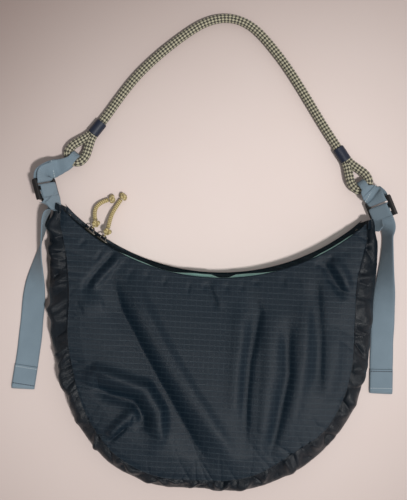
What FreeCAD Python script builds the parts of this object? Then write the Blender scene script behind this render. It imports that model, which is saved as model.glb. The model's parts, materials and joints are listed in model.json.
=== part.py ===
# Sling bag: a zipped D-shaped pouch of thin nylon with a rope handle on webbing straps.
#
# The bag lies on its back. +X points to its right, +Y towards the handle and +Z up, away from the
# surface. The origin is on the back panel, under the belly of the bag. Lengths are in millimetres.
import FreeCAD, Part
import Sketcher
import math
import os

doc = FreeCAD.newDocument("SlingBag")
V = FreeCAD.Vector
UP = V(0, 0, 1)

# ---------------------------------------------------------------- driving dimensions
sheet = doc.addObject("Spreadsheet::Sheet", "Sizes")
SIZES = {
    # pouch
    "bag_half_width": 180.5,
    "waist_step": 5.5,
    "waist_y": 40.0,
    "bag_bottom_depth": 175.0,
    "bottom_flat_half": 20.0,
    "bag_thickness": 46.0,
    "mouth_height": 30.0,
    "fabric": 1.2,
    "corner_step": 7.0,
    "corner_y": 160.0,
    "corner_run": 32.0,
    "corner_tab_width": 9.0,
    "corner_tab_length": 9.0,
    "mouth_radius": 240.0,
    "mouth_corner_rise": 7.1755,
    "seam_side_inset": 21.0,
    "seam_bottom_inset": 11.0,
    "seam_height": 12.0,
    # zip
    "zip_corner_gap": 12.9,
    "zip_end_gap": 3.7,
    "tape_thickness": 0.8,
    "tape_setback": 0.6,
    "coil_width": 2.6,
    "coil_thickness": 2.2,
    "chain_slit": 1.6,
    "zip_gap": 0.35,
    "stop_length": 3.0,
    "slider_length": 13.0,
    "slider_width": 9.0,
    "slider_plate": 1.3,
    "slider_left_from_corner": 39.3,
    "slider_right_from_corner": 52.8,
    "bail_wire": 1.6,
    "bail_radius": 3.4,
    "pull_cord_diameter": 4.6,
    "base_knot_diameter": 8.6,
    "end_knot_diameter": 8.0,
    "end_knot_length": 9.0,
    # webbing and ladder locks
    "webbing_width": 25.0,
    "webbing_thickness": 1.5,
    "clearance": 0.3,
    "lock_thickness": 4.5,
    "lock_rail": 3.7,
    "lock_rear_bar": 4.0,
    "lock_slot": 5.0,
    "lock_grip_bar": 3.6,
    "lock_front_bar": 5.2,
    "lock_tab": 3.6,
    "thread_radius": 1.4,
    "lock_left_out": 3.0,
    "lock_left_rise": 21.5,
    "lock_right_out": -0.5,
    "lock_right_rise": 17.5,
    "lock_height": 18.5,
    "lock_left_lean": 18.0,
    "lock_right_lean": 25.0,
    "lock_left_roll": 55.0,
    "lock_right_roll": 42.0,
    # handle
    "rope_diameter": 10.0,
    "eye_radius": 9.0,
    "eye_length": 24.6,
    "neck_length": 10.0,
    "rope_straight": 16.0,
    "whipping_length": 17.0,
    "whipping_wall": 1.4,
    "eye_slope": 3.6,
    "eye_left_out": -28.5,
    "eye_left_rise": 60.0,
    "eye_left_turn": -35.4,
    "eye_right_out": -23.7,
    "eye_right_rise": 45.7,
    "eye_right_turn": 36.2,
    "eye_height": 9.75,
    "link_gather_width": 7.2,
    "link_gather_thickness": 2.6,
}
# sizes that follow from the ones above: the mouth arc runs through both corners
FORMULAS = {
    "bag_waist_half_width": "=bag_half_width - waist_step",
    "corner_half_width": "=bag_half_width - corner_step",
    "mouth_centre_y": "=corner_y + mouth_corner_rise + sqrt(mouth_radius^2 - corner_half_width^2)",
}
cells = dict(SIZES)
cells.update(FORMULAS)
for row, (alias, value) in enumerate(cells.items(), start=1):
    sheet.set("A%d" % row, alias)
    sheet.set("B%d" % row, str(value))
    sheet.setAlias("B%d" % row, alias)
doc.recompute()


def size(alias):
    """One driving dimension, read back from the sheet."""
    return float(sheet.get(alias))


parts = []


def keep(obj, label):
    """Mark a document object as one sub-part and name its file."""
    obj.Label = label
    parts.append(obj)
    return obj


def feature(label, shape):
    """A free-form piece whose shape comes from Part's own functions."""
    obj = doc.addObject("Part::Feature", label)
    obj.Shape = shape
    return obj


def boolean(kind, name, base, tool):
    """A Part::Cut or Part::Common of two document objects."""
    obj = doc.addObject("Part::" + kind, name)
    obj.Base = base
    obj.Tool = tool
    return obj


# ---------------------------------------------------------------- pouch
MOUTH_CENTRE = V(0, size("mouth_centre_y"), 0)
MOUTH_OVERRUN = 8.0
WAIST_SHARE = 0.75


def pouch_wire(side_inset, bottom_inset, mouth_offset, z):
    """One level of the pouch: concave mouth arc, two sides and an elliptical bottom."""
    top_half = size("bag_half_width") - side_inset
    waist = size("bag_waist_half_width") - side_inset
    flat = size("bottom_flat_half")
    waist_y = size("waist_y") - WAIST_SHARE * max(mouth_offset, 0.0)
    bottom_y = size("waist_y") - size("bag_bottom_depth") + bottom_inset
    depth = waist_y - bottom_y
    radius = size("mouth_radius") + mouth_offset
    top_y = MOUTH_CENTRE.y - math.sqrt(radius ** 2 - top_half ** 2)
    bulge = (top_half - waist) / 4.0
    mid_y = (top_y + waist_y) / 2.0
    points = []
    steps = 6
    for step in range(steps + 1):
        angle = math.radians(90.0 * step / steps)
        x = flat + (waist - flat) * math.cos(angle)
        points.append(V(x, waist_y - depth * math.sin(angle), z))
    mirrored = [V(-p.x, p.y, p.z) for p in reversed(points)]
    right = Part.BSplineCurve()
    right.interpolate(points, InitialTangent=V(0, -1, 0), FinalTangent=V(-1, 0, 0))
    left = Part.BSplineCurve()
    left.interpolate(mirrored, InitialTangent=V(-1, 0, 0), FinalTangent=V(0, 1, 0))
    right_side = Part.Arc(V(top_half, top_y, z), V(waist + bulge, mid_y, z), V(waist, waist_y, z))
    left_side = Part.Arc(V(-waist, waist_y, z), V(-waist - bulge, mid_y, z), V(-top_half, top_y, z))
    mouth_low = V(0, MOUTH_CENTRE.y - radius, z)
    mouth = Part.Arc(V(-top_half, top_y, z), mouth_low, V(top_half, top_y, z))
    bottom = Part.LineSegment(points[-1], mirrored[0])
    curves = (mouth, right_side, right, bottom, left, left_side)
    return Part.Wire([curve.toShape() for curve in curves])


def pouch_loft(wall):
    """The filled pouch, wall inside the outer fabric: a flat back, full sides and a crowned front.

    Each level gives the inset of the sides, of the bottom and of the mouth edge, and its height as
    a share of the pouch's thickness. Up to the mouth's height, the mouth edge has no inset.
    """
    full = size("bag_thickness")
    crown = full - size("mouth_height")
    levels = (
        (8.0, 8.0, 0.0, 0.0),
        (2.5, 2.5, 0.0, 0.12 * full),
        (0.0, 0.0, 0.0, 0.32 * full),
        (2.5, 2.0, 0.0, 0.52 * full),
        (9.0, 7.0, 0.0, full - crown),
        (21.0, 16.0, 22.0, full - 0.68 * crown),
        (40.0, 32.0, 48.0, full - 0.36 * crown),
        (64.0, 56.0, 78.0, full - 0.12 * crown),
        (92.0, 86.0, 112.0, full),
    )
    wires = []
    for side, bottom, offset, z in levels:
        height = wall + z * (full - 2.0 * wall) / full
        wires.append(pouch_wire(side + wall, bottom + wall, offset - MOUTH_OVERRUN, height))
    return Part.makeLoft(wires, True, True)


def mouth_cutter(name):
    """A tall cylinder about the centre of the mouth arc."""
    tool = doc.addObject("Part::Cylinder", name)
    tool.setExpression("Radius", "Sizes.mouth_radius")
    tool.setExpression("Height", "Sizes.bag_thickness * 2")
    tool.setExpression("Placement.Base.y", "Sizes.mouth_centre_y")
    tool.setExpression("Placement.Base.z", "-Sizes.bag_thickness / 2")
    return tool


def corner_trim(name, base, wall):
    """The base with both mouth corners cut back, where the straps are sewn in."""
    half = size("corner_half_width") - wall
    corner_y = size("corner_y")
    far = size("bag_half_width") * 1.5
    run = size("corner_run")
    side_x = size("bag_half_width")
    tools = []
    for sign in (1, -1):
        corners = [
            V(sign * half, corner_y + far, -far),
            V(sign * half, corner_y, -far),
            V(sign * (side_x - wall), corner_y - run, -far),
            V(sign * far, corner_y - run, -far),
            V(sign * far, corner_y + far, -far),
        ]
        tools.append(Part.Face(Part.makePolygon(corners + corners[:1])).extrude(UP * 2.0 * far))
    return boolean("Cut", name, base, feature(name + "Tool", Part.makeCompound(tools)))


outer = corner_trim("PouchOuterTrimmed", feature("PouchOuter", pouch_loft(0.0)), 0.0)
inner = corner_trim("PouchInnerTrimmed", feature("PouchInner", pouch_loft(size("fabric"))), size("fabric"))
mouth_tool = mouth_cutter("MouthCutter")
corner_block = doc.addObject("Part::Box", "CornerCutter")
corner_block.setExpression("Length", "Sizes.bag_half_width * 3")
corner_block.setExpression("Width", "Sizes.bag_half_width")
corner_block.setExpression("Height", "Sizes.bag_thickness * 3")
corner_block.setExpression("Placement.Base.x", "-Sizes.bag_half_width * 1.5")
corner_block.setExpression("Placement.Base.y", "Sizes.corner_y")
corner_block.setExpression("Placement.Base.z", "-Sizes.bag_thickness")
opened = boolean("Cut", "PouchOpened", outer, mouth_tool)
ended = boolean("Cut", "PouchEnded", opened, corner_block)
shell = boolean("Cut", "PouchShell", ended, inner)
doc.recompute()

seam_wire = pouch_wire(size("seam_side_inset"), size("seam_bottom_inset"), -2.0 * MOUTH_OVERRUN, 0)
seam_prism = Part.Face(seam_wire).extrude(UP * size("bag_thickness") * 2)
seam_prism.translate(UP * size("seam_height"))
front_tool = feature("FrontSeam", seam_prism)
back_block = doc.addObject("Part::Box", "BackSlab")
back_block.setExpression("Length", "Sizes.bag_half_width * 3")
back_block.setExpression("Width", "Sizes.bag_half_width * 3")
back_block.setExpression("Height", "Sizes.fabric")
back_block.setExpression("Placement.Base.x", "-Sizes.bag_half_width * 1.5")
back_block.setExpression("Placement.Base.y", "-Sizes.bag_half_width * 1.5")



def crown_height(x, y):
    """The height of the pouch's outer face above a place in plan."""
    probe = Part.makeLine(V(x, y, size("mouth_height") / 2.0), V(x, y, size("bag_thickness") * 2.0))
    return probe.common(outer.Shape).BoundBox.ZMax


def to_line(x, y, line):
    """The distance in plan from a place to a line of points, and the share along it of the nearest."""
    nearest = (float("inf"), 0.0)
    for index in range(len(line) - 1):
        start = V(line[index][0], line[index][1], 0)
        run = V(line[index + 1][0], line[index + 1][1], 0) - start
        offset = V(x, y, 0) - start
        share = min(1.0, max(0.0, offset.dot(run) / run.dot(run)))
        gap = (offset - run * share).Length
        nearest = min(nearest, (gap, (index + share) / (len(line) - 1.0)))
    return nearest


# the main folds of the front panel: plan points as shares of the bag's half width, and of the
# depth of its belly from the waist; then the fold's height, or depth if negative, and half width
FRONT_FOLDS = (
    (((-0.49, 0.3), (-0.42, 0.1), (-0.28, -0.14), (-0.08, -0.43), (0.09, -0.66), (0.2, -0.78)), 5.5, 11.0),
    (((-0.59, 0.28), (-0.52, 0.1), (-0.39, -0.15), (-0.2, -0.43), (-0.04, -0.69)), -3.5, 12.0),
    (((-0.68, -0.27), (-0.51, -0.35), (-0.34, -0.39), (-0.26, -0.51), (-0.245, -0.67), (-0.3, -0.79)), 5.0, 9.5),
    (((-0.56, -0.45), (-0.42, -0.47), (-0.345, -0.56), (-0.33, -0.66)), -3.5, 9.0),
    (((-0.54, 0.4), (-0.68, 0.22)), 3.5, 7.0),
    (((-0.54, -0.7), (-0.46, -0.6), (-0.38, -0.57)), 4.0, 8.0),
    (((0.19, -0.02), (0.235, -0.3), (0.24, -0.6)), 2.4, 11.0),
    (((0.36, 0.15), (0.36, -0.25), (0.32, -0.72)), 2.6, 11.0),
    (((0.46, 0.1), (0.47, -0.26), (0.42, -0.56)), -3.2, 9.0),
    (((0.55, 0.22), (0.55, -0.15), (0.48, -0.62)), 2.8, 10.0),
)
FOLD_ROWS = 13
FOLD_COLUMNS = 19
WINDOW_INSET = 26.0
WINDOW_MARGIN = 5.0
FOLD_FADE = 15.0
FOLD_LIFT = 0.4
half = size("bag_half_width")
depth = size("bag_bottom_depth")
fold_lines = []
for line, height, width in FRONT_FOLDS:
    fold_lines.append(([(x * half, size("waist_y") + y * depth) for x, y in line], height, width))


def window_half(y):
    """Half the width of the folded part of the front panel at a place between belly and waist."""
    sink = min(1.0, max(0.0, (size("waist_y") - y) / depth))
    flat = size("bottom_flat_half")
    return flat + (size("bag_waist_half_width") - flat) * math.sqrt(1.0 - sink ** 2) - WINDOW_INSET


def folded_height(x, y, rim):
    """The crown with its folds, which die away towards the rim of the folded part."""
    total = 0.0
    for line, height, width in fold_lines:
        gap, share = to_line(x, y, line)
        total += height * math.exp(-(gap / width) ** 2) * min(1.0, 4.0 * share, 4.0 * (1.0 - share))
    return crown_height(x, y) + FOLD_LIFT + total * min(1.0, rim / FOLD_FADE)


mouth_low = size("mouth_centre_y") - size("mouth_radius")
window_low = size("waist_y") - depth + WINDOW_INSET
window_high = mouth_low - WINDOW_INSET * 0.6
sections = []
for row in range(FOLD_ROWS):
    step = (window_high - window_low + 2.0 * WINDOW_MARGIN) / (FOLD_ROWS - 1.0)
    y = window_low - WINDOW_MARGIN + step * row
    reach = window_half(y) + WINDOW_MARGIN
    top = []
    for column in range(FOLD_COLUMNS):
        x = reach * (2.0 * column / (FOLD_COLUMNS - 1.0) - 1.0)
        rim = min(reach - abs(x), y - window_low, window_high - y) - WINDOW_MARGIN
        top.append(V(x, y, folded_height(x, y, max(0.0, rim))))
    low = [point - UP * size("fabric") for point in reversed(top)]
    sections.append(Part.makePolygon(top + low + top[:1]))
folds = feature("FoldedCloth", Part.makeLoft(sections, True, True))
rim_points = []
for row in range(9):
    y = window_low + (window_high - window_low) * row / 8.0
    rim_points.append(V(window_half(y), y, 0))
rim_points += [V(-point.x, point.y, 0) for point in reversed(rim_points)]
window = feature("FoldWindow", Part.Face(Part.makePolygon(rim_points + rim_points[:1])).extrude(UP * size("bag_thickness") * 2.0))
surround = boolean("Cut", "FrontSurround", boolean("Common", "FrontCloth", shell, front_tool), window)
front_panel = boolean("Fuse", "FrontPanel", surround, boolean("Common", "FrontFolds", folds, window))
back_panel = boolean("Common", "BackPanel", shell, back_block)
sides = boolean("Cut", "SidesOpen", shell, front_tool)
gusset = boolean("Cut", "Gusset", sides, back_block)
doc.recompute()
keep(front_panel, "front_panel")
keep(back_panel, "back_panel")
keep(gusset, "gusset")

for side, sign in (("left", -1), ("right", 1)):
    block = doc.addObject("Part::Box", "TabBlock" + side)
    block.setExpression("Length", "Sizes.bag_half_width - Sizes.corner_half_width + Sizes.corner_tab_width")
    block.setExpression("Width", "Sizes.corner_tab_length")
    block.setExpression("Height", "Sizes.bag_thickness")
    start = "Sizes.corner_half_width - Sizes.corner_tab_width"
    block.setExpression("Placement.Base.x", start if sign > 0 else "-Sizes.bag_half_width")
    block.setExpression("Placement.Base.y", "Sizes.corner_y - Sizes.corner_tab_length")
    filled = boolean("Common", "TabFill" + side, block, inner)
    tab = boolean("Cut", "CornerTab" + side, filled, mouth_tool)
    doc.recompute()
    keep(tab, "corner_tab_" + side)

# ---------------------------------------------------------------- zip
LEFT_TO_DOWN = -90.0


def mouth_band(name, inner_radius, thickness, low, high, start, end):
    """A band about the mouth's centre, between two angles from straight down, in degrees."""
    r0 = inner_radius
    r1 = inner_radius + thickness
    profile = Part.makePolygon([V(r0, 0, low), V(r1, 0, low), V(r1, 0, high), V(r0, 0, high), V(r0, 0, low)])
    band = Part.Face(profile).revolve(V(0, 0, 0), UP, end - start)
    band.rotate(V(0, 0, 0), UP, LEFT_TO_DOWN + start)
    band.translate(MOUTH_CENTRE)
    return feature(name, band)




def mouth_angle(from_corner):
    """The angle on the mouth arc, from straight down, of a place that far in from a corner."""
    return math.degrees(math.asin((size("corner_half_width") - from_corner) / size("mouth_radius")))


zip_angle = mouth_angle(size("zip_corner_gap"))
coil_angle = zip_angle - math.degrees(size("zip_end_gap") / size("mouth_radius"))
slider_angles = {
    "left": -mouth_angle(size("slider_left_from_corner")),
    "right": -mouth_angle(size("slider_right_from_corner")),
}
mid_height = size("mouth_height") / 2.0
tape_radius = size("mouth_radius") + size("tape_setback")
slit = size("chain_slit") / 2.0
coil_width = size("coil_width")
for side, sign in (("front", 1), ("back", -1)):
    near = mid_height + sign * (slit + coil_width / 2.0)
    far = mid_height + sign * mid_height * 1.4
    low, high = min(near, far), max(near, far)
    band = mouth_band("TapeBand" + side, tape_radius, size("tape_thickness"), low, high, -zip_angle, zip_angle)
    tape = boolean("Common", "ZipTape" + side, band, inner)
    low = mid_height + slit if sign > 0 else mid_height - slit - coil_width
    coil_inner = tape_radius - size("coil_thickness")
    coil = mouth_band("ZipCoil" + side, coil_inner, size("coil_thickness"), low, low + coil_width,
                      -coil_angle, coil_angle)
    doc.recompute()
    keep(tape, "zip_tape_" + side)
    keep(coil, "zip_coil_" + side)


def zip_frame(angle):
    """Placement on the chain: X along it to the right, Z out of the mouth, Y towards the back."""
    turn = math.radians(angle)
    out = V(-math.sin(turn), math.cos(turn), 0)
    along = V(math.cos(turn), math.sin(turn), 0)
    radius = tape_radius - size("coil_thickness")
    origin = MOUTH_CENTRE - out * radius + UP * mid_height
    matrix = FreeCAD.Matrix(
        along.x, 0.0, out.x, origin.x,
        along.y, 0.0, out.y, origin.y,
        along.z, -1.0, out.z, origin.z,
        0.0, 0.0, 0.0, 1.0)
    return FreeCAD.Placement(matrix)


def new_sketch(body, name, plane):
    """A sketch on one of the body's own origin planes."""
    sketch = body.newObject("Sketcher::SketchObject", name)
    plane_object = [f for f in body.Origin.OriginFeatures if f.Role == plane][0]
    sketch.AttachmentSupport = [(plane_object, "")]
    sketch.MapMode = "FlatFace"
    return sketch


def add_rectangle(sketch, width, height, centre_y="0"):
    """A rectangle centred on the sketch's Y axis, its sizes bound to sheet expressions."""
    corners = [V(-1, -1, 0), V(1, -1, 0), V(1, 1, 0), V(-1, 1, 0)]
    first = sketch.GeometryCount
    for index in range(4):
        sketch.addGeometry(Part.LineSegment(corners[index], corners[(index + 1) % 4]), False)
    for index in range(4):
        following = first + (index + 1) % 4
        sketch.addConstraint(Sketcher.Constraint("Coincident", first + index, 2, following, 1))
    sketch.addConstraint(Sketcher.Constraint("Horizontal", first + 2))
    sketch.addConstraint(Sketcher.Constraint("Vertical", first + 1))
    sketch.addConstraint(Sketcher.Constraint("Vertical", first + 3))
    sketch.addConstraint(Sketcher.Constraint("Symmetric", first, 1, first, 2, -2))
    wide = sketch.addConstraint(Sketcher.Constraint("DistanceX", first, 1, first, 2, 2.0))
    sketch.setExpression("Constraints[%d]" % wide, width)
    tall = sketch.addConstraint(Sketcher.Constraint("DistanceY", first + 1, 1, first + 1, 2, 2.0))
    sketch.setExpression("Constraints[%d]" % tall, height)
    low = sketch.addConstraint(Sketcher.Constraint("DistanceY", -1, 1, first, 1, -1.0))
    sketch.setExpression("Constraints[%d]" % low, "%s - (%s) / 2" % (centre_y, height))


def pad(body, name, sketch, length, offset="0", midplane=False):
    """A pad of a sketch, its length and start bound to sheet expressions."""
    sketch.setExpression("AttachmentOffset.Base.z", offset)
    feature_pad = body.newObject("PartDesign::Pad", name)
    feature_pad.Profile = sketch
    feature_pad.Midplane = midplane
    feature_pad.setExpression("Length", length)
    sketch.Visibility = False
    return feature_pad


def slider_body(name):
    """The slider: an outer and an inner plate about the chain, joined by the wedge between."""
    body = doc.addObject("PartDesign::Body", name)
    gap = "Sizes.zip_gap"
    outer_sketch = new_sketch(body, name + "Outer", "XY_Plane")
    add_rectangle(outer_sketch, "Sizes.slider_length", "Sizes.slider_width")
    pad(body, name + "OuterPlate", outer_sketch, "Sizes.slider_plate", gap)
    under = "-Sizes.coil_thickness - Sizes.tape_thickness - Sizes.zip_gap - Sizes.slider_plate"
    wedge_sketch = new_sketch(body, name + "Wedge", "XY_Plane")
    add_rectangle(wedge_sketch, "Sizes.slider_length * 0.7", "Sizes.chain_slit - 2 * Sizes.zip_gap")
    wedge = pad(body, name + "WedgePad", wedge_sketch, "-(" + under + ") + Sizes.zip_gap + Sizes.slider_plate / 2",
                under + " + Sizes.slider_plate / 2")
    inner_sketch = new_sketch(body, name + "Inner", "XY_Plane")
    add_rectangle(inner_sketch, "Sizes.slider_length", "Sizes.slider_width")
    pad(body, name + "InnerPlate", inner_sketch, "Sizes.slider_plate", under)
    doc.recompute()
    return body


def bail(name):
    """The wire bail that holds the pull cord: an arch standing on the slider's outer plate."""
    wire = size("bail_wire") / 2.0
    reach = size("bail_radius")
    top = size("zip_gap") + size("slider_plate")
    arch = Part.Arc(V(-reach, 0, top + wire), V(0, 0, top + wire + reach), V(reach, 0, top + wire))
    feet = [
        Part.LineSegment(V(-reach, 0, top), V(-reach, 0, top + wire)).toShape(),
        arch.toShape(),
        Part.LineSegment(V(reach, 0, top + wire), V(reach, 0, top)).toShape(),
    ]
    section = Part.Wire(Part.Circle(V(-reach, 0, top), UP, wire).toShape())
    shape = Part.Wire(feet).makePipeShell([section], True, False)
    return feature(name, shape)


SIDES = ("left", "right")
for side in SIDES:
    frame = zip_frame(slider_angles[side])
    body = slider_body("Slider" + side)
    body.Placement = frame
    keep(body, "slider_body_" + side)
    hoop = bail("Bail" + side)
    hoop.Placement = frame
    keep(hoop, "slider_bail_" + side)

for side, sign in (("left", -1), ("right", 1)):
    end = sign * coil_angle
    start = min(end, end - sign * math.degrees(size("stop_length") / tape_radius))
    stop = mouth_band("ZipStop" + side, tape_radius - size("coil_thickness") - 0.8, 0.8,
                      mid_height - slit - coil_width, mid_height + slit + coil_width,
                      start, start + math.degrees(size("stop_length") / tape_radius))
    doc.recompute()
    keep(stop, "zip_stop_" + side)


# ---------------------------------------------------------------- cords and knots
def round_route(points):
    """Straight runs joined by the largest arcs that both runs allow; prints each arc's radius."""
    edges = []
    start = points[0]
    radii = []
    for before, corner, after in zip(points, points[1:], points[2:]):
        come = (corner - before)
        go = (after - corner)
        shorter = min(come.Length, go.Length)
        come_dir = V(come).normalize()
        go_dir = V(go).normalize()
        turn = come_dir.getAngle(go_dir)
        reach = 0.45 * shorter
        radius = reach / math.tan(turn / 2.0)
        enter = corner - come_dir * reach
        leave = corner + go_dir * reach
        inward = (go_dir - come_dir).normalize()
        middle = corner + inward * (radius / math.cos(turn / 2.0) - radius)
        edges.append(Part.LineSegment(start, enter).toShape())
        edges.append(Part.Arc(enter, middle, leave).toShape())
        start = leave
        radii.append(radius)
    edges.append(Part.LineSegment(start, points[-1]).toShape())
    return Part.Wire(edges), radii


def tube(name, points, diameter):
    """A cord along a route, checked against its section times its length."""
    path, radii = round_route(points)
    first = V(points[1] - points[0]).normalize()
    section = Part.Wire(Part.Circle(points[0], first, diameter / 2.0).toShape())
    shape = path.makePipeShell([section], True, False)
    ideal = math.pi * diameter ** 2 / 4.0 * path.Length
    print(name, "length", round(path.Length, 1), "volume ratio", round(shape.Volume / ideal, 4),
          "radii", [round(radius) for radius in radii])
    return feature(name, shape)


def barrel(name, diameter, length, centre, direction, bore=0.0):
    """A turned barrel: a knot or a whipping, round-shouldered, with a bore if it has one."""
    body = doc.addObject("PartDesign::Body", name)
    sketch = new_sketch(body, name + "Profile", "XZ_Plane")
    radius = diameter / 2.0
    inner_radius = bore / 2.0
    shoulder = min(0.3 * length, 0.8 * (radius - inner_radius))
    half = length / 2.0
    corners = [
        V(inner_radius, -half, 0),
        V(radius - shoulder, -half, 0),
        V(radius, -half + shoulder, 0),
        V(radius, half - shoulder, 0),
        V(radius - shoulder, half, 0),
        V(inner_radius, half, 0),
    ]
    slope = math.sqrt(0.5)
    bend = shoulder * (1.0 - slope)
    lower = Part.Arc(corners[1], V(radius - bend, -half + bend, 0), corners[2])
    upper = Part.Arc(corners[3], V(radius - bend, half - bend, 0), corners[4])
    curves = (
        Part.LineSegment(corners[0], corners[1]),
        lower,
        Part.LineSegment(corners[2], corners[3]),
        upper,
        Part.LineSegment(corners[4], corners[5]),
        Part.LineSegment(corners[5], corners[0]),
    )
    for curve in curves:
        sketch.addGeometry(curve, False)
    turned = body.newObject("PartDesign::Revolution", name + "Turned")
    turned.Profile = sketch
    turned.ReferenceAxis = (sketch, ["V_Axis"])
    turned.Angle = 360.0
    sketch.Visibility = False
    doc.recompute()
    body.Placement = FreeCAD.Placement(centre, FreeCAD.Rotation(UP, direction))
    return body


# each pull's route, from its knot on the bail; heights are above the surface
PULL_ROUTES = {
    "left": [V(-3.5, 12.8, 9.4), V(1.5, 23.3, 5.0), V(11.5, 26.8, 4.8)],
    "right": [V(2.1, 15.5, 9.4), V(6.5, 26.3, 5.0), V(12.5, 35.9, 4.4)],
}
for side in SIDES:
    frame = zip_frame(slider_angles[side])
    knot_out = size("zip_gap") + size("slider_plate") + size("bail_wire") + size("bail_radius")
    knot_out += size("base_knot_diameter") / 2.0 + size("clearance")
    knot_centre = frame.multVec(V(0, 0, knot_out))
    route = [V(knot_centre.x + step.x, knot_centre.y + step.y, step.z) for step in PULL_ROUTES[side]]
    toward = V(route[0] - knot_centre).normalize()
    cord = size("pull_cord_diameter")
    base = doc.addObject("Part::Sphere", "BaseKnot" + side)
    base.setExpression("Radius", "Sizes.base_knot_diameter / 2")
    base.Placement = FreeCAD.Placement(knot_centre, FreeCAD.Rotation(UP, toward))
    doc.recompute()
    keep(base, "pull_base_knot_" + side)
    cord_start = knot_centre + toward * (size("base_knot_diameter") / 2.0)
    last = V(route[-1] - route[-2]).normalize()
    keep(tube("PullCord" + side, [cord_start] + route, cord), "pull_cord_" + side)
    end_centre = route[-1] + last * (size("end_knot_length") / 2.0)
    end = barrel("EndKnot" + side, size("end_knot_diameter"), size("end_knot_length"), end_centre, last)
    keep(end, "pull_end_knot_" + side)


# ---------------------------------------------------------------- ladder locks and webbing
OUT = {"left": -1.0, "right": 1.0}


def lock_frame(side):
    """Placement of a ladder lock: X along its bars, Y towards the handle, Z its strap side."""
    x = OUT[side] * (size("bag_half_width") + size("lock_%s_out" % side))
    centre = V(x, size("corner_y") + size("lock_%s_rise" % side), size("lock_height"))
    roll = size("lock_%s_roll" % side)
    if side == "right":
        roll = -roll
    turn = FreeCAD.Rotation(UP, size("lock_%s_lean" % side)) * FreeCAD.Rotation(V(0, 1, 0), roll)
    return FreeCAD.Placement(centre, turn)


SLOT_WIDTH = "(Sizes.webbing_width + 2 * Sizes.clearance)"
LOCK_WIDTH = "(%s + 2 * Sizes.lock_rail)" % SLOT_WIDTH
GRIP_Y = size("lock_grip_bar") / 2.0
REAR_SLOT_Y = GRIP_Y + size("lock_slot") / 2.0
REAR_BAR_Y = GRIP_Y + size("lock_slot") + size("lock_rear_bar") / 2.0
FRONT_SLOT_Y = -GRIP_Y - size("lock_slot") / 2.0
FRONT_BAR_Y = -GRIP_Y - size("lock_slot") - size("lock_front_bar") / 2.0
GRIP = "Sizes.lock_grip_bar"
SLOT = "Sizes.lock_slot"


def ladder_lock(name):
    """The moulded ladder lock: a frame with two slots, a round rear bar and a lifting tab."""
    body = doc.addObject("PartDesign::Body", name)
    outline = new_sketch(body, name + "Outline", "XY_Plane")
    length = "(%s + 2 * %s + Sizes.lock_front_bar)" % (GRIP, SLOT)
    add_rectangle(outline, LOCK_WIDTH, length, "-Sizes.lock_front_bar / 2")
    pad(body, name + "Plate", outline, "Sizes.lock_thickness", "-Sizes.lock_thickness / 2")
    for slot, sign in (("Rear", ""), ("Front", "-")):
        sketch = new_sketch(body, name + slot, "XY_Plane")
        add_rectangle(sketch, SLOT_WIDTH, SLOT, "%s(%s + %s) / 2" % (sign, GRIP, SLOT))
        sketch.setExpression("AttachmentOffset.Base.z", "-Sizes.lock_thickness")
        cut = body.newObject("PartDesign::Pocket", name + slot + "Slot")
        cut.Profile = sketch
        cut.Reversed = True
        cut.setExpression("Length", "Sizes.lock_thickness * 2")
        sketch.Visibility = False
    ear = new_sketch(body, name + "Ears", "YZ_Plane")
    rear = "(%s / 2 + %s + Sizes.lock_rear_bar / 2)" % (GRIP, SLOT)
    circle = ear.addGeometry(Part.Circle(V(REAR_BAR_Y, 0, 0), UP, size("lock_rear_bar") / 2.0), False)
    ear.addConstraint(Sketcher.Constraint("PointOnObject", circle, 3, -1))
    place = ear.addConstraint(Sketcher.Constraint("DistanceX", -1, 1, circle, 3, REAR_BAR_Y))
    ear.setExpression("Constraints[%d]" % place, rear)
    wide = ear.addConstraint(Sketcher.Constraint("Diameter", circle, size("lock_rear_bar")))
    ear.setExpression("Constraints[%d]" % wide, "Sizes.lock_rear_bar")
    pad(body, name + "RearBar", ear, LOCK_WIDTH, "0", True)
    for hand, start in (("Left", "-%s / 2" % LOCK_WIDTH), ("Right", "%s / 2 - Sizes.lock_rail" % LOCK_WIDTH)):
        rail = new_sketch(body, name + hand + "Rail", "YZ_Plane")
        add_strip(rail, "(%s / 2)" % GRIP, rear, "Sizes.lock_thickness")
        pad(body, name + hand + "RailPad", rail, "Sizes.lock_rail", start)
    tab = new_sketch(body, name + "Tab", "YZ_Plane")
    tab_start = "(-%s / 2 - %s - Sizes.lock_front_bar)" % (GRIP, SLOT)
    add_strip(tab, "(%s - Sizes.lock_tab)" % tab_start, "(%s + 0.4)" % tab_start, "Sizes.lock_thickness * 0.6",
              "-Sizes.lock_thickness * 0.2")
    pad(body, name + "TabPad", tab, "(%s * 0.7)" % SLOT_WIDTH, "0", True)
    doc.recompute()
    return body


def add_strip(sketch, start, end, height, middle="0"):
    """A rectangle from start to end along the sketch's X, about a middle height."""
    corners = [V(-1, -1, 0), V(1, -1, 0), V(1, 1, 0), V(-1, 1, 0)]
    first = sketch.GeometryCount
    for index in range(4):
        sketch.addGeometry(Part.LineSegment(corners[index], corners[(index + 1) % 4]), False)
    for index in range(4):
        following = first + (index + 1) % 4
        sketch.addConstraint(Sketcher.Constraint("Coincident", first + index, 2, following, 1))
    for index, kind in enumerate(("Horizontal", "Vertical", "Horizontal", "Vertical")):
        sketch.addConstraint(Sketcher.Constraint(kind, first + index))
    bounds = (
        ("DistanceX", -1, 1, first, 1, start),
        ("DistanceX", -1, 1, first + 1, 1, end),
        ("DistanceY", -1, 1, first, 1, "%s - (%s) / 2" % (middle, height)),
        ("DistanceY", -1, 1, first + 2, 1, "%s + (%s) / 2" % (middle, height)),
    )
    for kind, a, a_point, b, b_point, expression in bounds:
        index = sketch.addConstraint(Sketcher.Constraint(kind, a, a_point, b, b_point, 1.0))
        sketch.setExpression("Constraints[%d]" % index, expression)


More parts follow.
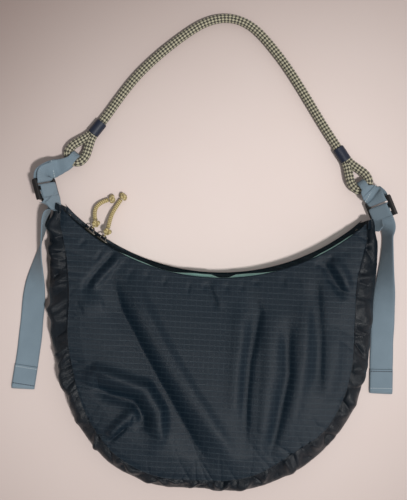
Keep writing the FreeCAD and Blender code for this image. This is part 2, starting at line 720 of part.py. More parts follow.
def ribbon(name, stations):
    """Webbing lofted through stations of centre, width direction, normal, width and thickness."""
    wires = []
    for centre, across, normal, width, thick in stations:
        side = V(across).normalize() * (width / 2.0)
        lift = V(normal).normalize() * (thick / 2.0)
        corners = [centre - side - lift, centre + side - lift, centre + side + lift, centre - side + lift]
        wires.append(Part.makePolygon(corners + corners[:1]))
    return feature(name, Part.makeLoft(wires, True, True))


def arc_points(centre_y, centre_z, radius, start, end, steps):
    """Points and outward normals of an arc in a lock's YZ plane, angles in degrees from +Y."""
    found = []
    for step in range(steps + 1):
        angle = math.radians(start + (end - start) * step / steps)
        found.append((centre_y + radius * math.cos(angle), centre_z + radius * math.sin(angle), angle))
    return found


def threaded_path():
    """Where the strap runs through a lock: (y, z, normal angle), from the load side to the tail.

    It passes over the grip bar from the rear slot to the front slot; the tail leaves between the
    front bar and the loaded strap.
    """
    half = size("webbing_thickness") / 2.0
    gap = size("clearance")
    turn = size("thread_radius")
    tail_z = size("lock_thickness") / 2.0 + gap + half
    load_z = tail_z + gap + 2.0 * half
    rear_y = GRIP_Y + gap + half
    front_y = -GRIP_Y - gap - half
    under_z = -tail_z
    path = [(FRONT_BAR_Y - 2.0, load_z, math.pi / 2.0), (front_y, load_z, math.pi / 2.0)]
    path += arc_points(rear_y - turn, load_z - turn, turn, 90.0, 0.0, 4)
    path += arc_points(rear_y - turn, under_z + turn, turn, 0.0, -90.0, 4)
    path += arc_points(front_y + turn, under_z + turn, turn, -90.0, -180.0, 4)
    inner = arc_points(front_y - turn, tail_z - turn, turn, 0.0, 90.0, 4)
    path += [(y, z, angle + math.pi) for y, z, angle in inner]
    tail_out = FRONT_BAR_Y - size("lock_front_bar") / 2.0 - size("lock_tab")
    path.append((FRONT_BAR_Y, tail_z, math.pi * 1.5))
    path.append((tail_out, tail_z, math.pi * 1.5))
    return path


def cross_frame(direction, across):
    """An orthonormal width direction and normal for a strap that runs along a direction."""
    along = V(direction).normalize()
    width = V(across) - along * V(across).dot(along)
    width.normalize()
    return width, width.cross(along)


# where each strap leaves the bag, in from the corner, and its tail: out from the widest part of
# the bag, up from the corner, height above the surface and the way its width lies
STRAP_ENDS = {
    "left": {
        "anchor_in": 6.0,
        "anchor_across": V(0.42, 0.0, -0.9),
        "tail": [
            (V(0.1, -8.0, 18.4), V(0.2, 0.0, -0.98)),
            (V(2.9, -28.0, 16.4), V(0.05, 0.0, -1.0)),
            (V(5.7, -48.0, 14.2), V(-0.25, 0.0, -0.97)),
            (V(8.1, -68.0, 10.4), V(-0.62, 0.0, -0.78)),
            (V(10.1, -90.0, 5.6), V(-0.93, 0.0, -0.34)),
            (V(11.3, -114.0, 2.2), V(-1.0, 0.0, -0.08)),
            (V(12.9, -146.0, 1.0), V(-1.0, 0.0, 0.0)),
            (V(15.3, -174.0, 1.0), V(-1.0, 0.0, 0.0)),
            (V(17.7, -197.0, 1.0), V(-1.0, 0.0, 0.0)),
        ],
    },
    "right": {
        "anchor_in": 2.0,
        "anchor_across": V(0.7, 0.0, 0.7),
        "tail": [
            (V(8.7, -10.0, 14.6), V(-0.36, 0.0, -0.93)),
            (V(9.7, -32.0, 13.2), V(-0.42, 0.0, -0.9)),
            (V(9.7, -54.0, 10.6), V(-0.62, 0.0, -0.78)),
            (V(9.7, -76.0, 7.2), V(-0.85, 0.0, -0.5)),
            (V(9.9, -98.0, 3.8), V(-0.97, 0.0, -0.22)),
            (V(10.3, -120.0, 1.5), V(-1.0, 0.0, -0.03)),
            (V(10.9, -146.0, 1.0), V(-1.0, 0.0, 0.0)),
            (V(12.1, -181.0, 1.0), V(-1.0, 0.0, 0.0)),
        ],
    },
}


def strap_stations(side):
    """The whole strap: out of the bag's corner, through the ladder lock and down to its hem."""
    width = size("webbing_width")
    thick = size("webbing_thickness")
    frame = lock_frame(side)
    bars = frame.Rotation.multVec(V(1, 0, 0))
    ends = STRAP_ENDS[side]
    entry = frame.multVec(V(0, threaded_path()[0][0], threaded_path()[0][1]))
    along = frame.Rotation.multVec(V(0, 1, 0))
    stations = []
    anchor_x = OUT[side] * (size("corner_half_width") - ends["anchor_in"])
    anchor = V(anchor_x, size("corner_y") + size("clearance"), mid_height)
    steps = 4
    for step in range(steps):
        share = step / steps
        point = anchor * (1.0 - share) + entry * share
        mixed = ends["anchor_across"] * (1.0 - share) + bars * share
        chord = V(0, 1, 0) * (1.0 - share) + along * share
        across, normal = cross_frame(chord, mixed)
        stations.append((point, across, normal, width, thick))
    for y, z, angle in threaded_path():
        normal = frame.Rotation.multVec(V(0, math.cos(angle), math.sin(angle)))
        stations.append((frame.multVec(V(0, y, z)), bars, normal, width, thick))
    previous = stations[-1][0]
    for step, across in ends["tail"]:
        point = V(OUT[side] * (size("bag_half_width") + step.x), size("corner_y") + step.y, step.z)
        sideways, normal = cross_frame(point - previous, across * -1.0)
        stations.append((point, sideways, normal, width, thick))
        previous = point
    return stations


for side in SIDES:
    lock = ladder_lock("Lock" + side)
    lock.Placement = lock_frame(side)
    keep(lock, "ladder_lock_" + side)
    keep(ribbon("Strap" + side, strap_stations(side)), "strap_" + side)


# ---------------------------------------------------------------- handle
def eye_frame(side):
    """Placement of a rope eye: X towards the handle along its axis, Y across, Z up."""
    x = OUT[side] * (size("bag_half_width") + size("eye_%s_out" % side))
    origin = V(x, size("corner_y") + size("eye_%s_rise" % side), size("eye_height"))
    turn = FreeCAD.Rotation(UP, 90.0 + size("eye_%s_turn" % side))
    slope = FreeCAD.Rotation(V(0, 1, 0), size("eye_slope"))
    return FreeCAD.Placement(origin, turn * slope)


def rope_eye(name):
    """The rope doubled back on itself: a teardrop bend whose legs join in a spliced neck."""
    bend = size("eye_radius")
    rope = size("rope_diameter") / 2.0
    length = size("eye_length")
    tangent = math.acos(bend / length)
    halves = []
    for sign in (1, -1):
        touch = V(bend * math.cos(tangent), sign * bend * math.sin(tangent), 0)
        quarter = math.pi - (math.pi - tangent) / 2.0
        middle = V(bend * math.cos(quarter), sign * bend * math.sin(quarter), 0)
        start = V(-bend, 0, 0)
        throat = V(length, 0, 0)
        path = Part.Wire([Part.Arc(start, middle, touch).toShape(), Part.LineSegment(touch, throat).toShape()])
        section = Part.Wire(Part.Circle(start, V(0, 1, 0), rope).toShape())
        halves.append(path.makePipeShell([section], True, False))
    neck = Part.makeCylinder(rope, size("neck_length") + 2.0, V(length - 2.0, 0, 0), V(1, 0, 0))
    return feature(name, halves[0].fuse([halves[1], neck]))


def link_stations(side):
    """The link webbing: round the eye's bend, back to the ladder lock's rear bar and to its hem."""
    lock = lock_frame(side)
    eye = eye_frame(side)
    full = size("webbing_width")
    thin = size("webbing_thickness")
    narrow = size("link_gather_width")
    bunched = size("link_gather_thickness")
    bar_wrap = size("lock_rear_bar") / 2.0 + size("clearance") + thin / 2.0
    bend = size("eye_radius")
    bend_sag = bend - math.sqrt(bend ** 2 - (narrow / 2.0) ** 2)
    rope_wrap = size("rope_diameter") / 2.0 + bend_sag + 3.0 * size("clearance") + bunched / 2.0
    start = lock.multVec(V(0, REAR_BAR_Y, 0))
    end = eye.multVec(V(-size("eye_radius"), 0, 0))
    start_along = lock.Rotation.multVec(V(0, 1, 0))
    end_along = eye.Rotation.multVec(V(1, 0, 0))
    start_across = lock.Rotation.multVec(V(1, 0, 0))
    end_across = eye.Rotation.multVec(V(0, -1, 0))
    span = (end - start).Length
    reach = span * 0.4
    control = [start, start + start_along * reach, end - end_along * reach, end]

    def spine(share):
        rest = 1.0 - share
        point = control[0] * rest ** 3 + control[1] * (3 * rest ** 2 * share)
        point += control[2] * (3 * rest * share ** 2) + control[3] * share ** 3
        along = (control[1] - control[0]) * rest ** 2 + (control[2] - control[1]) * (2 * rest * share)
        along += (control[3] - control[2]) * share ** 2
        along.normalize()
        blend = share * share * (3.0 - 2.0 * share)
        across = start_across * (1.0 - blend) + end_across * blend
        across = (across - along * across.dot(along)).normalize()
        return point, along, across, across.cross(along)

    def layer(share, sign, extra=0.0):
        point, along, across, normal = spine(share)
        gather = max(0.0, (share - 0.5) / 0.5) ** 1.5
        width = full + (narrow - full) * gather
        thick = thin + (bunched - thin) * gather
        from_bar = share * span
        from_rope = (1.0 - share) * span
        lift_start = bar_wrap * min(1.0, max(0.0, 1.0 - (from_bar - bar_wrap) / (2.0 * bar_wrap)))
        lift_end = rope_wrap * min(1.0, max(0.0, 1.0 - (from_rope - rope_wrap * 0.8) / (1.2 * rope_wrap)))
        lift = max(thick / 2.0 + 0.05, lift_start, lift_end) + extra
        return (point + normal * (sign * lift), across, normal * sign, width, thick)

    def wrap(share, radius, first, last, width, thick, steps=6):
        point, along, across, normal = spine(share)
        found = []
        for step in range(1, steps):
            angle = math.radians(first + (last - first) * step / steps)
            out = along * math.cos(angle) + normal * math.sin(angle)
            found.append((point + out * radius, across, out, width, thick))
        return found

    hem = 0.42
    stations = [layer(hem, 1)]
    stations += [layer(share, 1) for share in (0.52, 0.64, 0.78, 0.9, 1.0)]
    stations += wrap(1.0, rope_wrap, 90.0, -90.0, narrow, bunched)
    stations += [layer(share, -1) for share in (1.0, 0.9, 0.78, 0.64, 0.52, 0.4, 0.28, 0.14, 0.0)]
    stations += wrap(0.0, bar_wrap, -90.0, -270.0, full, thin)
    stations += [layer(share, 1) for share in (0.0, 0.14, 0.28)]
    stations += [layer(share, 1, thin + 0.1) for share in (hem, 0.54)]
    return stations


for side in SIDES:
    frame = eye_frame(side)
    eye = rope_eye("Eye" + side)
    eye.Placement = frame
    keep(eye, "rope_eye_" + side)
    whipping_start = size("eye_length") + 2.0
    whipping_middle = frame.multVec(V(whipping_start + size("whipping_length") / 2.0, 0, 0))
    axis = frame.Rotation.multVec(V(1, 0, 0))
    bore = size("rope_diameter") + 0.2
    wound = bore + 2.0 * size("whipping_wall")
    whipping = barrel("Whipping" + side, wound, size("whipping_length"), whipping_middle, axis, bore)
    keep(whipping, "whipping_" + side)
    keep(ribbon("Link" + side, link_stations(side)), "link_webbing_" + side)

rope_start = size("eye_length") + size("neck_length") + size("clearance")
rope_lift = size("rope_diameter") / 2.0 + size("clearance")
# the arch of the rope: shares of the way from the left eye to the right one, and rises above
# the left eye
ROPE_ROUTE = [
    (0.139, 63.7), (0.199, 90.0), (0.287, 117.5), (0.389, 143.4), (0.447, 153.0), (0.502, 156.5), (0.557, 154.0),
    (0.607, 145.5), (0.662, 129.0), (0.732, 103.5), (0.800, 73.0), (0.858, 46.0),
]
left_eye = eye_frame("left").Base
right_eye = eye_frame("right").Base
arch = []
for share, rise in ROPE_ROUTE:
    arch.append(V(left_eye.x + share * (right_eye.x - left_eye.x), left_eye.y + rise, rope_lift))
rope_ends = []
for side in SIDES:
    for reach in (rope_start, rope_start + size("rope_straight")):
        rope_ends.append(eye_frame(side).multVec(V(reach, 0, 0)))
rope_points = rope_ends[:2] + arch + [rope_ends[3], rope_ends[2]]
rope = tube("HandleRope", rope_points, size("rope_diameter"))
keep(rope, "handle_rope")

# ---------------------------------------------------------------- write the sub-parts
doc.recompute()
for obj in doc.Objects:
    if "Invalid" in obj.State or "Error" in obj.State:
        raise RuntimeError("%s did not build: %s" % (obj.Label, obj.State))
os.makedirs("parts", exist_ok=True)
for obj in parts:
    if obj.Shape.isNull() or not obj.Shape.isValid():
        raise RuntimeError("%s has no valid shape" % obj.Label)
    obj.Shape.exportStep(os.path.join("parts", obj.Label + ".step"))
print(len(parts), "sub-parts written")
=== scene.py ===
import json
import math
from functools import partialmethod
import bpy
import numpy as np
from mathutils import Matrix, Vector
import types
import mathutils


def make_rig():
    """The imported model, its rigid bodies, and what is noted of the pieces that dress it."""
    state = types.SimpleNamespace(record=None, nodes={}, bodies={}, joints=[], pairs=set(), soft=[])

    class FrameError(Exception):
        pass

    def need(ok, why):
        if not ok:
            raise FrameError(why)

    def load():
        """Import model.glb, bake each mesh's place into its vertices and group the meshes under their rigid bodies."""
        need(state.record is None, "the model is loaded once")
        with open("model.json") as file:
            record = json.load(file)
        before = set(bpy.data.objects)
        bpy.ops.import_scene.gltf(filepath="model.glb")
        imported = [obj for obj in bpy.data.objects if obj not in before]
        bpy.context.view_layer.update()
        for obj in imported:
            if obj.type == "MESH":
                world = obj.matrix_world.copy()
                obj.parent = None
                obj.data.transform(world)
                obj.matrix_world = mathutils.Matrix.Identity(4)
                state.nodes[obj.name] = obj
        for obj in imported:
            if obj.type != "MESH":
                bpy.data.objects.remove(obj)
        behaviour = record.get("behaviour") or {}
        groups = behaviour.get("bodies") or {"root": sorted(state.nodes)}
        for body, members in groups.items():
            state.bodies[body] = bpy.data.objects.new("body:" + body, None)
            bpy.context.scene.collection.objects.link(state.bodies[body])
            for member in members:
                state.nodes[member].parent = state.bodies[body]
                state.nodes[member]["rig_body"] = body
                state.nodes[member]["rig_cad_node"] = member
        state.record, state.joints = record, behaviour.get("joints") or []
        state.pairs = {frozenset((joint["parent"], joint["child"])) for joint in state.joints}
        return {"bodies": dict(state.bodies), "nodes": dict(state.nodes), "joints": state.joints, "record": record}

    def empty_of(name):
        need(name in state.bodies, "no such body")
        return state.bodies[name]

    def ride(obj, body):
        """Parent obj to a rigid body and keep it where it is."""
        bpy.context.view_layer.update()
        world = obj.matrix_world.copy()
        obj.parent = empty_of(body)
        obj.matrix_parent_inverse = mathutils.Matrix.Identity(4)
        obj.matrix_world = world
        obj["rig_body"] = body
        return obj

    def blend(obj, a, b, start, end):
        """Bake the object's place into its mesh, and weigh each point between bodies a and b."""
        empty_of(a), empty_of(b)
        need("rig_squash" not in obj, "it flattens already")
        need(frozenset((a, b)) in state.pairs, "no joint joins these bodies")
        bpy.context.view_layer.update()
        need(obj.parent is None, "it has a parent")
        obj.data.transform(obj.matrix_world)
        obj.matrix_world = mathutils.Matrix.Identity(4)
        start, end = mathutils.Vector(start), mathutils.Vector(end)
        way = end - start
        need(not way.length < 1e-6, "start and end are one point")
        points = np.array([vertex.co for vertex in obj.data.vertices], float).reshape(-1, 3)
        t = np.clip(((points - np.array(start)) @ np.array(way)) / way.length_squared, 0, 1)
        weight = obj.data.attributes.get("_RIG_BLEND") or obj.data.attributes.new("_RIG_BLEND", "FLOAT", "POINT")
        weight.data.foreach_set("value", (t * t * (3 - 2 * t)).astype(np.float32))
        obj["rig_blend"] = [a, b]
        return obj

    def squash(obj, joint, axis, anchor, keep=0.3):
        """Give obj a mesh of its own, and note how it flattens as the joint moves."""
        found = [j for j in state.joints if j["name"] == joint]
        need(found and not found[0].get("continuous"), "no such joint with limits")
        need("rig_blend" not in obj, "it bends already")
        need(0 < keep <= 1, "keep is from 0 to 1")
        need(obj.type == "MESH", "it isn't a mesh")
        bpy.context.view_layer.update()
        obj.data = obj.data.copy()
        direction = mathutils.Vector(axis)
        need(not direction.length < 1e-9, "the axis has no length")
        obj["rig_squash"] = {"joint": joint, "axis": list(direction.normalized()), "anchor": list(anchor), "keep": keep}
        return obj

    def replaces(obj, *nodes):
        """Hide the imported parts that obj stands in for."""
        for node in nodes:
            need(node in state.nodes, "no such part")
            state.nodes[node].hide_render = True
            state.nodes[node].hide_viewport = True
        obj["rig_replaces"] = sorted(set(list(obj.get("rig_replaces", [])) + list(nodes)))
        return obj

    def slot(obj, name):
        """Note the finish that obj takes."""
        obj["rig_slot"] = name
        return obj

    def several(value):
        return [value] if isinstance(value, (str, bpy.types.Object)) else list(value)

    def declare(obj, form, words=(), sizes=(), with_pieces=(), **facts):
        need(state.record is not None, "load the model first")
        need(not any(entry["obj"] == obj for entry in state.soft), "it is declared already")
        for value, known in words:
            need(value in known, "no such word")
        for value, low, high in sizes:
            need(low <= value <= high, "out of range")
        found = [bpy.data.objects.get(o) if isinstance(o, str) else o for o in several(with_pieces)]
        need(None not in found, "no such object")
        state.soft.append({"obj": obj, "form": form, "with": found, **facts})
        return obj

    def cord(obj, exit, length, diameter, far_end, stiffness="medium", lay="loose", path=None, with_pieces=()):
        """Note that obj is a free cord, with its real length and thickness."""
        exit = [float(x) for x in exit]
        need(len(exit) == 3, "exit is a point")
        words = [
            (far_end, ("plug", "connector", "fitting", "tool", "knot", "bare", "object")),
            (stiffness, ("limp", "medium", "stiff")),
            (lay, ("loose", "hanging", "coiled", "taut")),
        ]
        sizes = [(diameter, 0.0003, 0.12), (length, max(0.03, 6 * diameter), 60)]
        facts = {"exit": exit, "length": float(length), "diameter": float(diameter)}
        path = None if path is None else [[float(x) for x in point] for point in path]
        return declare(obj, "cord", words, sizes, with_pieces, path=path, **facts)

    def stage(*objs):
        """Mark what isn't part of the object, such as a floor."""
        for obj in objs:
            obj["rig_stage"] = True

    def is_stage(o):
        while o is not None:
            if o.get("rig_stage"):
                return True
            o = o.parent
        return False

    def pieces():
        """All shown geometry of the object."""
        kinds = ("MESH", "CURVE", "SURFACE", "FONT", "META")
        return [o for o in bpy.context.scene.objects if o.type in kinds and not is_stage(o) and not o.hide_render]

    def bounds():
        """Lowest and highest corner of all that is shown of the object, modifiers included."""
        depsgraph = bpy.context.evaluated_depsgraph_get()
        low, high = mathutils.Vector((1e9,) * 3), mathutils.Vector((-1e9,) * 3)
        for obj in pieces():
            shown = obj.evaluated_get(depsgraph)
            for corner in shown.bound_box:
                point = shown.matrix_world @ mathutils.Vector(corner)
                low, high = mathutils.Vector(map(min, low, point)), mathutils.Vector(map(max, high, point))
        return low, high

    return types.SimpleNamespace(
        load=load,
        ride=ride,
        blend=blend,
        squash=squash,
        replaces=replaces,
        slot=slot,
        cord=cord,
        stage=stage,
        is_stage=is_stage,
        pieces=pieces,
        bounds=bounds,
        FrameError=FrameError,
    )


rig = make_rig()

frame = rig.load()
cad_box = [list(corner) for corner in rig.bounds()]

# ---- the table top, the light and the camera
# The bag lies flat on its back on a pale, warm table top. A small high light to the lower
# right gives it crisp short shadows, and a soft even room light fills them.
MM = 0.001


def tint(red, green, blue):
    """A colour written as 0-255 values, turned into the linear values that shaders use."""
    found = []
    for value in (red, green, blue):
        share = value / 255
        found.append(share / 12.92 if share <= 0.04045 else ((share + 0.055) / 1.055) ** 2.4)
    return (*found, 1)


class Signal:
    """A socket of a node tree that can be used in sums and products."""

    def __init__(self, nodes, socket):
        self.nodes = nodes
        self.socket = socket

    def maths(self, operation, *others):
        return self.nodes.node("Math", {"operation": operation}, [self, *others])

    def __rsub__(self, other):
        return self.nodes.node("Math", {"operation": "SUBTRACT"}, [other, self])

    __add__ = __radd__ = partialmethod(maths, "ADD")
    __sub__ = partialmethod(maths, "SUBTRACT")
    __mul__ = __rmul__ = partialmethod(maths, "MULTIPLY")
    __truediv__ = partialmethod(maths, "DIVIDE")
    __pow__ = partialmethod(maths, "POWER")
    __gt__ = partialmethod(maths, "GREATER_THAN")

    def also(self, name):
        """Another output of the same node."""
        return Signal(self.nodes, self.socket.node.outputs[name])

    def from_middle(self):
        """How far the fraction of a number is from a half."""
        return (self.maths("FRACT") - 0.5).maths("ABSOLUTE")

    def wave(self, count):
        """1 at every whole number divided by count, 0 halfway between."""
        return (self * (count * 2 * math.pi)).maths("COSINE") * 0.5 + 0.5

    def step(self, low, high):
        """0 below low, 1 above high, and smooth between."""
        return self.nodes.node("MapRange", {"interpolation_type": "SMOOTHSTEP"}, [self, low, high, 0.0, 1.0])


class Nodes:
    """A node tree, and one call that adds a node with its settings, values and links."""

    def __init__(self, tree):
        self.tree = tree

    def feed(self, socket, value):
        """Link a signal to a socket, or set a plain value on it."""
        if isinstance(value, Signal):
            self.tree.links.new(value.socket, socket)
        else:
            socket.default_value = value

    def node(self, kind, settings=None, inputs=(), out=0):
        """A node of one kind, with its settings, then the values or links of its sockets."""
        made = self.tree.nodes.new(kind if "Node" in kind else "ShaderNode" + kind)
        for name, value in (settings or {}).items():
            setattr(made, name, value)
        for key, value in inputs.items() if isinstance(inputs, dict) else enumerate(inputs):
            self.feed(made.inputs[key], value)
        return Signal(self, made.outputs[out])


class Finish(Nodes):
    """One material: a Principled shader and the nodes that vary it."""

    def __init__(self, name):
        self.material = bpy.data.materials.new(name)
        self.material.use_nodes = True
        super().__init__(self.material.node_tree)

    def place(self, source="Object"):
        """The x, y and z of the piece's own coordinates, or of its UV map."""
        x = self.node("SeparateXYZ", inputs=[self.node("TexCoord", out=source)])
        return x, x.also("Y"), x.also("Z")

    def cloud(self, scale, detail=3.0):
        """Soft noise from 0 to 1, with features about 1/scale metres across."""
        spot = self.node("TexCoord", out="Object")
        return self.node("TexNoise", inputs={"Vector": spot, "Scale": scale, "Detail": detail, "Roughness": 0.5})

    def mix(self, share, first, second):
        return self.node("Mix", {"data_type": "RGBA"}, {0: share, 6: first, 7: second}, out=2)

    def bump(self, height, distance, strength):
        return self.node("Bump", inputs={"Strength": strength, "Distance": distance, "Height": height})

    def surface(self, **sockets):
        """Feed the shader's sockets, and give the material."""
        shader = self.tree.nodes["Principled BSDF"]
        for name, value in sockets.items():
            self.feed(shader.inputs[name.replace("_", " ")], value)
        return self.material


def as_piece(name, verts, faces, material, slot=None, uv=None):
    """A smooth mesh object at the origin from points and faces, with one UV per face corner if given."""
    mesh = bpy.data.meshes.new(name)
    mesh.from_pydata([tuple(v) for v in verts], [], [tuple(f) for f in faces])
    if uv is not None:
        layer = mesh.uv_layers.new(name="UVMap")
        layer.data.foreach_set("uv", np.asarray(uv, np.float32).ravel())
    mesh.polygons.foreach_set("use_smooth", [True] * len(mesh.polygons))
    mesh.materials.append(material)
    piece = bpy.data.objects.new(name, mesh)
    scene.collection.objects.link(piece)
    if slot:
        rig.slot(piece, slot)
    return piece


def stands_for(piece, body, node=None):
    """Let a piece ride on a body, and show it in place of a CAD node."""
    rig.ride(piece, body)
    if node:
        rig.replaces(piece, node)


scene = bpy.context.scene
scene.view_settings.view_transform = "Standard"
TABLE_HALF = 4.0
TABLE_DROP = 0.2 * MM
table_finish = Finish("table_top")
mottle = table_finish.cloud(9.0, 4.0)
across_table, up_table, _ = table_finish.place()
# painted shade: the table top darkens with distance from the bag and towards its upper left, where the light falls off
from_bag = ((across_table - 0.03) ** 2.0 + (up_table - 0.1) ** 2.0) ** 0.5
painted_falloff_shade = from_bag.step(0.1, 0.5) * 0.65 + (up_table - across_table * 0.8).step(0.1, 0.62) * 0.4
pale = table_finish.mix(mottle, tint(222, 207, 202), tint(226, 213, 209))
table_finish.surface(
    Base_Color=table_finish.mix(painted_falloff_shade, pale, tint(128, 112, 107)),
    Roughness=0.75,
    Normal=table_finish.bump(table_finish.cloud(1500.0, 2.0), 0.0002, 0.4),
)
table_corners = [(x * TABLE_HALF, y * TABLE_HALF, cad_box[0][2] - TABLE_DROP)
                 for x, y in ((-1, -1), (1, -1), (1, 1), (-1, 1))]
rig.stage(as_piece("table_top", table_corners, [(0, 1, 2, 3)], table_finish.material))

# the room's soft light is stronger from one side
world = bpy.data.worlds.new("room")
world.use_nodes = True
room = Nodes(world.node_tree)
light_side = room.node("VectorMath", {"operation": "DOT_PRODUCT"},
                       [room.node("TexCoord", out="Generated"), (0.75, 0.35, 0.3)], out="Value")
strength = room.node("MapRange", inputs={
    "Value": light_side, "From Min": -0.9, "From Max": 0.9, "To Min": 0.1, "To Max": 0.56})
background = world.node_tree.nodes["Background"]
room.feed(background.inputs["Color"], (1.0, 0.985, 0.97, 1))
room.feed(background.inputs["Strength"], strength)
scene.world = world
lamp = bpy.data.objects.new("high_light", bpy.data.lights.new("high_light", "SUN"))
lamp.data.energy = 2.35
lamp.data.angle = math.radians(5)
lamp.data.color = (1.0, 0.975, 0.95)
lamp.rotation_euler = Vector((0.27, -0.24, 0.93)).to_track_quat("Z", "Y").to_euler()
scene.collection.objects.link(lamp)

FILM = 24
CAMERA_HEIGHT = 1.52
camera = bpy.data.objects.new("camera", bpy.data.cameras.new("camera"))
camera.data.sensor_fit = "VERTICAL"
camera.data.sensor_height = FILM
camera.data.lens = FILM / 0.54 * 1.5
camera.location = (-0.0091, 0.1223, CAMERA_HEIGHT)
camera.rotation_euler = (0, 0, math.radians(3))
scene.collection.objects.link(camera)
scene.camera = camera

# ---- the rope handle
# A 10 mm round braid, cream strands crossed by dark olive ones. Its two ends are doubled back
# into eyes, and the necks of the eyes are whipped with navy thread.
ROPE = 10 * MM
ROPE_START = 34.9
ROPE_STRAIGHT = 50.9
ROPE_HEIGHT = 5.3
SIDES = ("left", "right")


def on_axis(place, reaches):
    """Points on the X axis of a frame, at reaches in millimetres."""
    return [place @ Vector((reach * MM, 0, 0)) for reach in reaches]


def eye_place(side):
    """The eye's own frame: X runs from the bend to the handle, Z is up."""
    x, y, turn = {"left": (-152.0, 220.0, -35.4), "right": (156.8, 205.7, 36.2)}[side]
    place = Matrix.Translation((x * MM, y * MM, 9.75 * MM))
    return place @ Matrix.Rotation(math.radians(90 + turn), 4, "Z") @ Matrix.Rotation(math.radians(3.6), 4, "Y")


def nurbs_line(points):
    """The smooth line of a NURBS spline whose control points are the route's points."""
    curve = bpy.data.curves.new("route", "CURVE")
    curve.dimensions = "3D"
    spline = curve.splines.new("NURBS")
    spline.points.add(len(points) - 1)
    for control, point in zip(spline.points, points):
        control.co = (*point, 1)
    spline.order_u = 3
    spline.use_endpoint_u = True
    spline.resolution_u = 24
    holder = bpy.data.objects.new("route", curve)
    scene.collection.objects.link(holder)
    line_mesh = bpy.data.meshes.new_from_object(holder)
    line = np.array([v.co for v in line_mesh.vertices], float)
    bpy.data.objects.remove(holder)
    bpy.data.curves.remove(curve)
    bpy.data.meshes.remove(line_mesh)
    return line


def distances(line):
    """Each point's distance along a line."""
    return np.concatenate([[0], np.cumsum(np.linalg.norm(np.diff(line, axis=0), axis=1))])


def picked(table, along, at):
    """A table's rows, known at the distances along, read at other distances."""
    return np.stack([np.interp(at, along, column) for column in table.T], 1)


def resampled(line, count):
    """The line again, with an even number of points along it."""
    along = distances(line)
    return picked(line, along, np.linspace(0, along[-1], count))


def carried_frames(line):
    """A direction along the line at each point, and two square to it that don't spin."""
    along = np.gradient(line, axis=0)
    along /= np.linalg.norm(along, axis=1)[:, None]
    ups = np.empty_like(line)
    up = np.array((0.0, 0.0, 1.0))
    for index, run in enumerate(along):
        up = up - run * (up @ run)
        up = up / np.linalg.norm(up)
        ups[index] = up
    return along, ups, np.cross(along, ups)


def grid_faces(rows, columns, wrap_columns=True):
    """Quads of a grid of points numbered row by row, closed round its columns if asked."""
    faces = []
    for row in range(rows - 1):
        for column in range(columns if wrap_columns else columns - 1):
            following = (column + 1) % columns
            faces.append((row * columns + column, row * columns + following,
                          (row + 1) * columns + following, (row + 1) * columns + column))
    return faces


def grid_uv(us, vs):
    """UVs for grid_faces, where us has one more value than the columns if they wrap."""
    u0, v0 = np.meshgrid(us[:-1], vs[:-1])
    u1, v1 = np.meshgrid(us[1:], vs[1:])
    return np.stack([np.stack(pair, -1) for pair in ((u0, v0), (u1, v0), (u1, v1), (u0, v1))], 2).reshape(-1, 2)


def braided(name, line, radius, relief, look, body, node=None):
    """A round braid along a line: two families of strands that go over and under each other.

    look holds the number of strands in each family, the length in which one goes once round, the
    points round the braid, the gap between its rings, its material and its slot.
    """
    strands, lay, around, gap, material, slot = look
    whole = distances(line)
    at = np.linspace(0, whole[-1], max(3, int(round(whole[-1] / gap)) + 1))
    line = picked(line, whole, at)
    _, ups, sides = carried_frames(line)
    turn, run = np.meshgrid(np.arange(around) / around, at / lay)
    left = strands * (turn + run)
    right = strands * (turn - run)
    across_left = np.modf(left + 1000)[0] * 2 - 1
    across_right = np.modf(right + 1000)[0] * 2 - 1
    over = (np.floor(left) + np.floor(right)) % 2 == 0
    across = np.where(over, across_left, across_right)
    lengthways = np.where(over, across_right, across_left)
    height = np.sqrt(1 - 0.96 * across ** 2) * (1 - 0.45 * lengthways ** 2)
    reach = radius - relief * (1 - height)
    angle = turn * 2 * math.pi
    points = (line[:, None] + (ups[:, None] * np.cos(angle)[..., None] + sides[:, None] * np.sin(angle)[..., None])
              * reach[..., None])
    rows = len(line)
    faces = grid_faces(rows, around)
    for column in range(around):
        following = (column + 1) % around
        faces.append((rows * around, following, column))
        faces.append((rows * around + 1, (rows - 1) * around + column, (rows - 1) * around + following))
    uv = list(grid_uv(np.arange(around + 1) / around, at / lay)) + [(0.0, 0.0)] * 6 * around
    piece = as_piece(name, list(points.reshape(-1, 3)) + [line[0], line[-1]], faces, material, slot, uv)
    stands_for(piece, body, node)
    return piece


def braid_finish(name, strands, light, dark, shade, fibres):
    """The look of a braid with one light and one dark family, from its UVs: turns round and along, with painted shade
    where the strands dip under each other.
    """
    finish = Finish(name)
    turn, run, _ = finish.place("UV")
    left = (turn + run) * strands
    right = (turn - run) * strands + 1000.0
    over = (left.maths("FLOOR") + right.maths("FLOOR")).maths("MODULO", 2.0) > 0.5
    over_left = 1 - over
    across = over_left * left.maths("FRACT") + over * right.maths("FRACT")
    lengthways = over_left * right.maths("FRACT") + over * left.maths("FRACT")
    edge = (across - 0.5).maths("ABSOLUTE") * 2
    tip = (lengthways - 0.5).maths("ABSOLUTE") * 2
    # painted shade: each strand darkens towards its edges and tips, where it dips under its neighbours; the same mask
    # gives the dips' bump
    dip_and_crevice_shade = (edge ** 3.0 + tip ** 4.0 * 0.6).step(0.25, 1.3)
    fibre = (across * fibres).wave(1.0)
    worn = finish.mix(finish.cloud(420.0) * 0.25 + fibre * 0.12, finish.mix(over, light, dark), shade)
    return finish.surface(
        Base_Color=finish.mix(dip_and_crevice_shade * 0.6, worn, tint(34, 32, 26)),
        Roughness=0.78,
        Normal=finish.bump(fibre * 0.4 + (1 - dip_and_crevice_shade), 0.0003, 0.5),
        Sheen_Weight=0.15,
        Sheen_Roughness=0.5,
    )


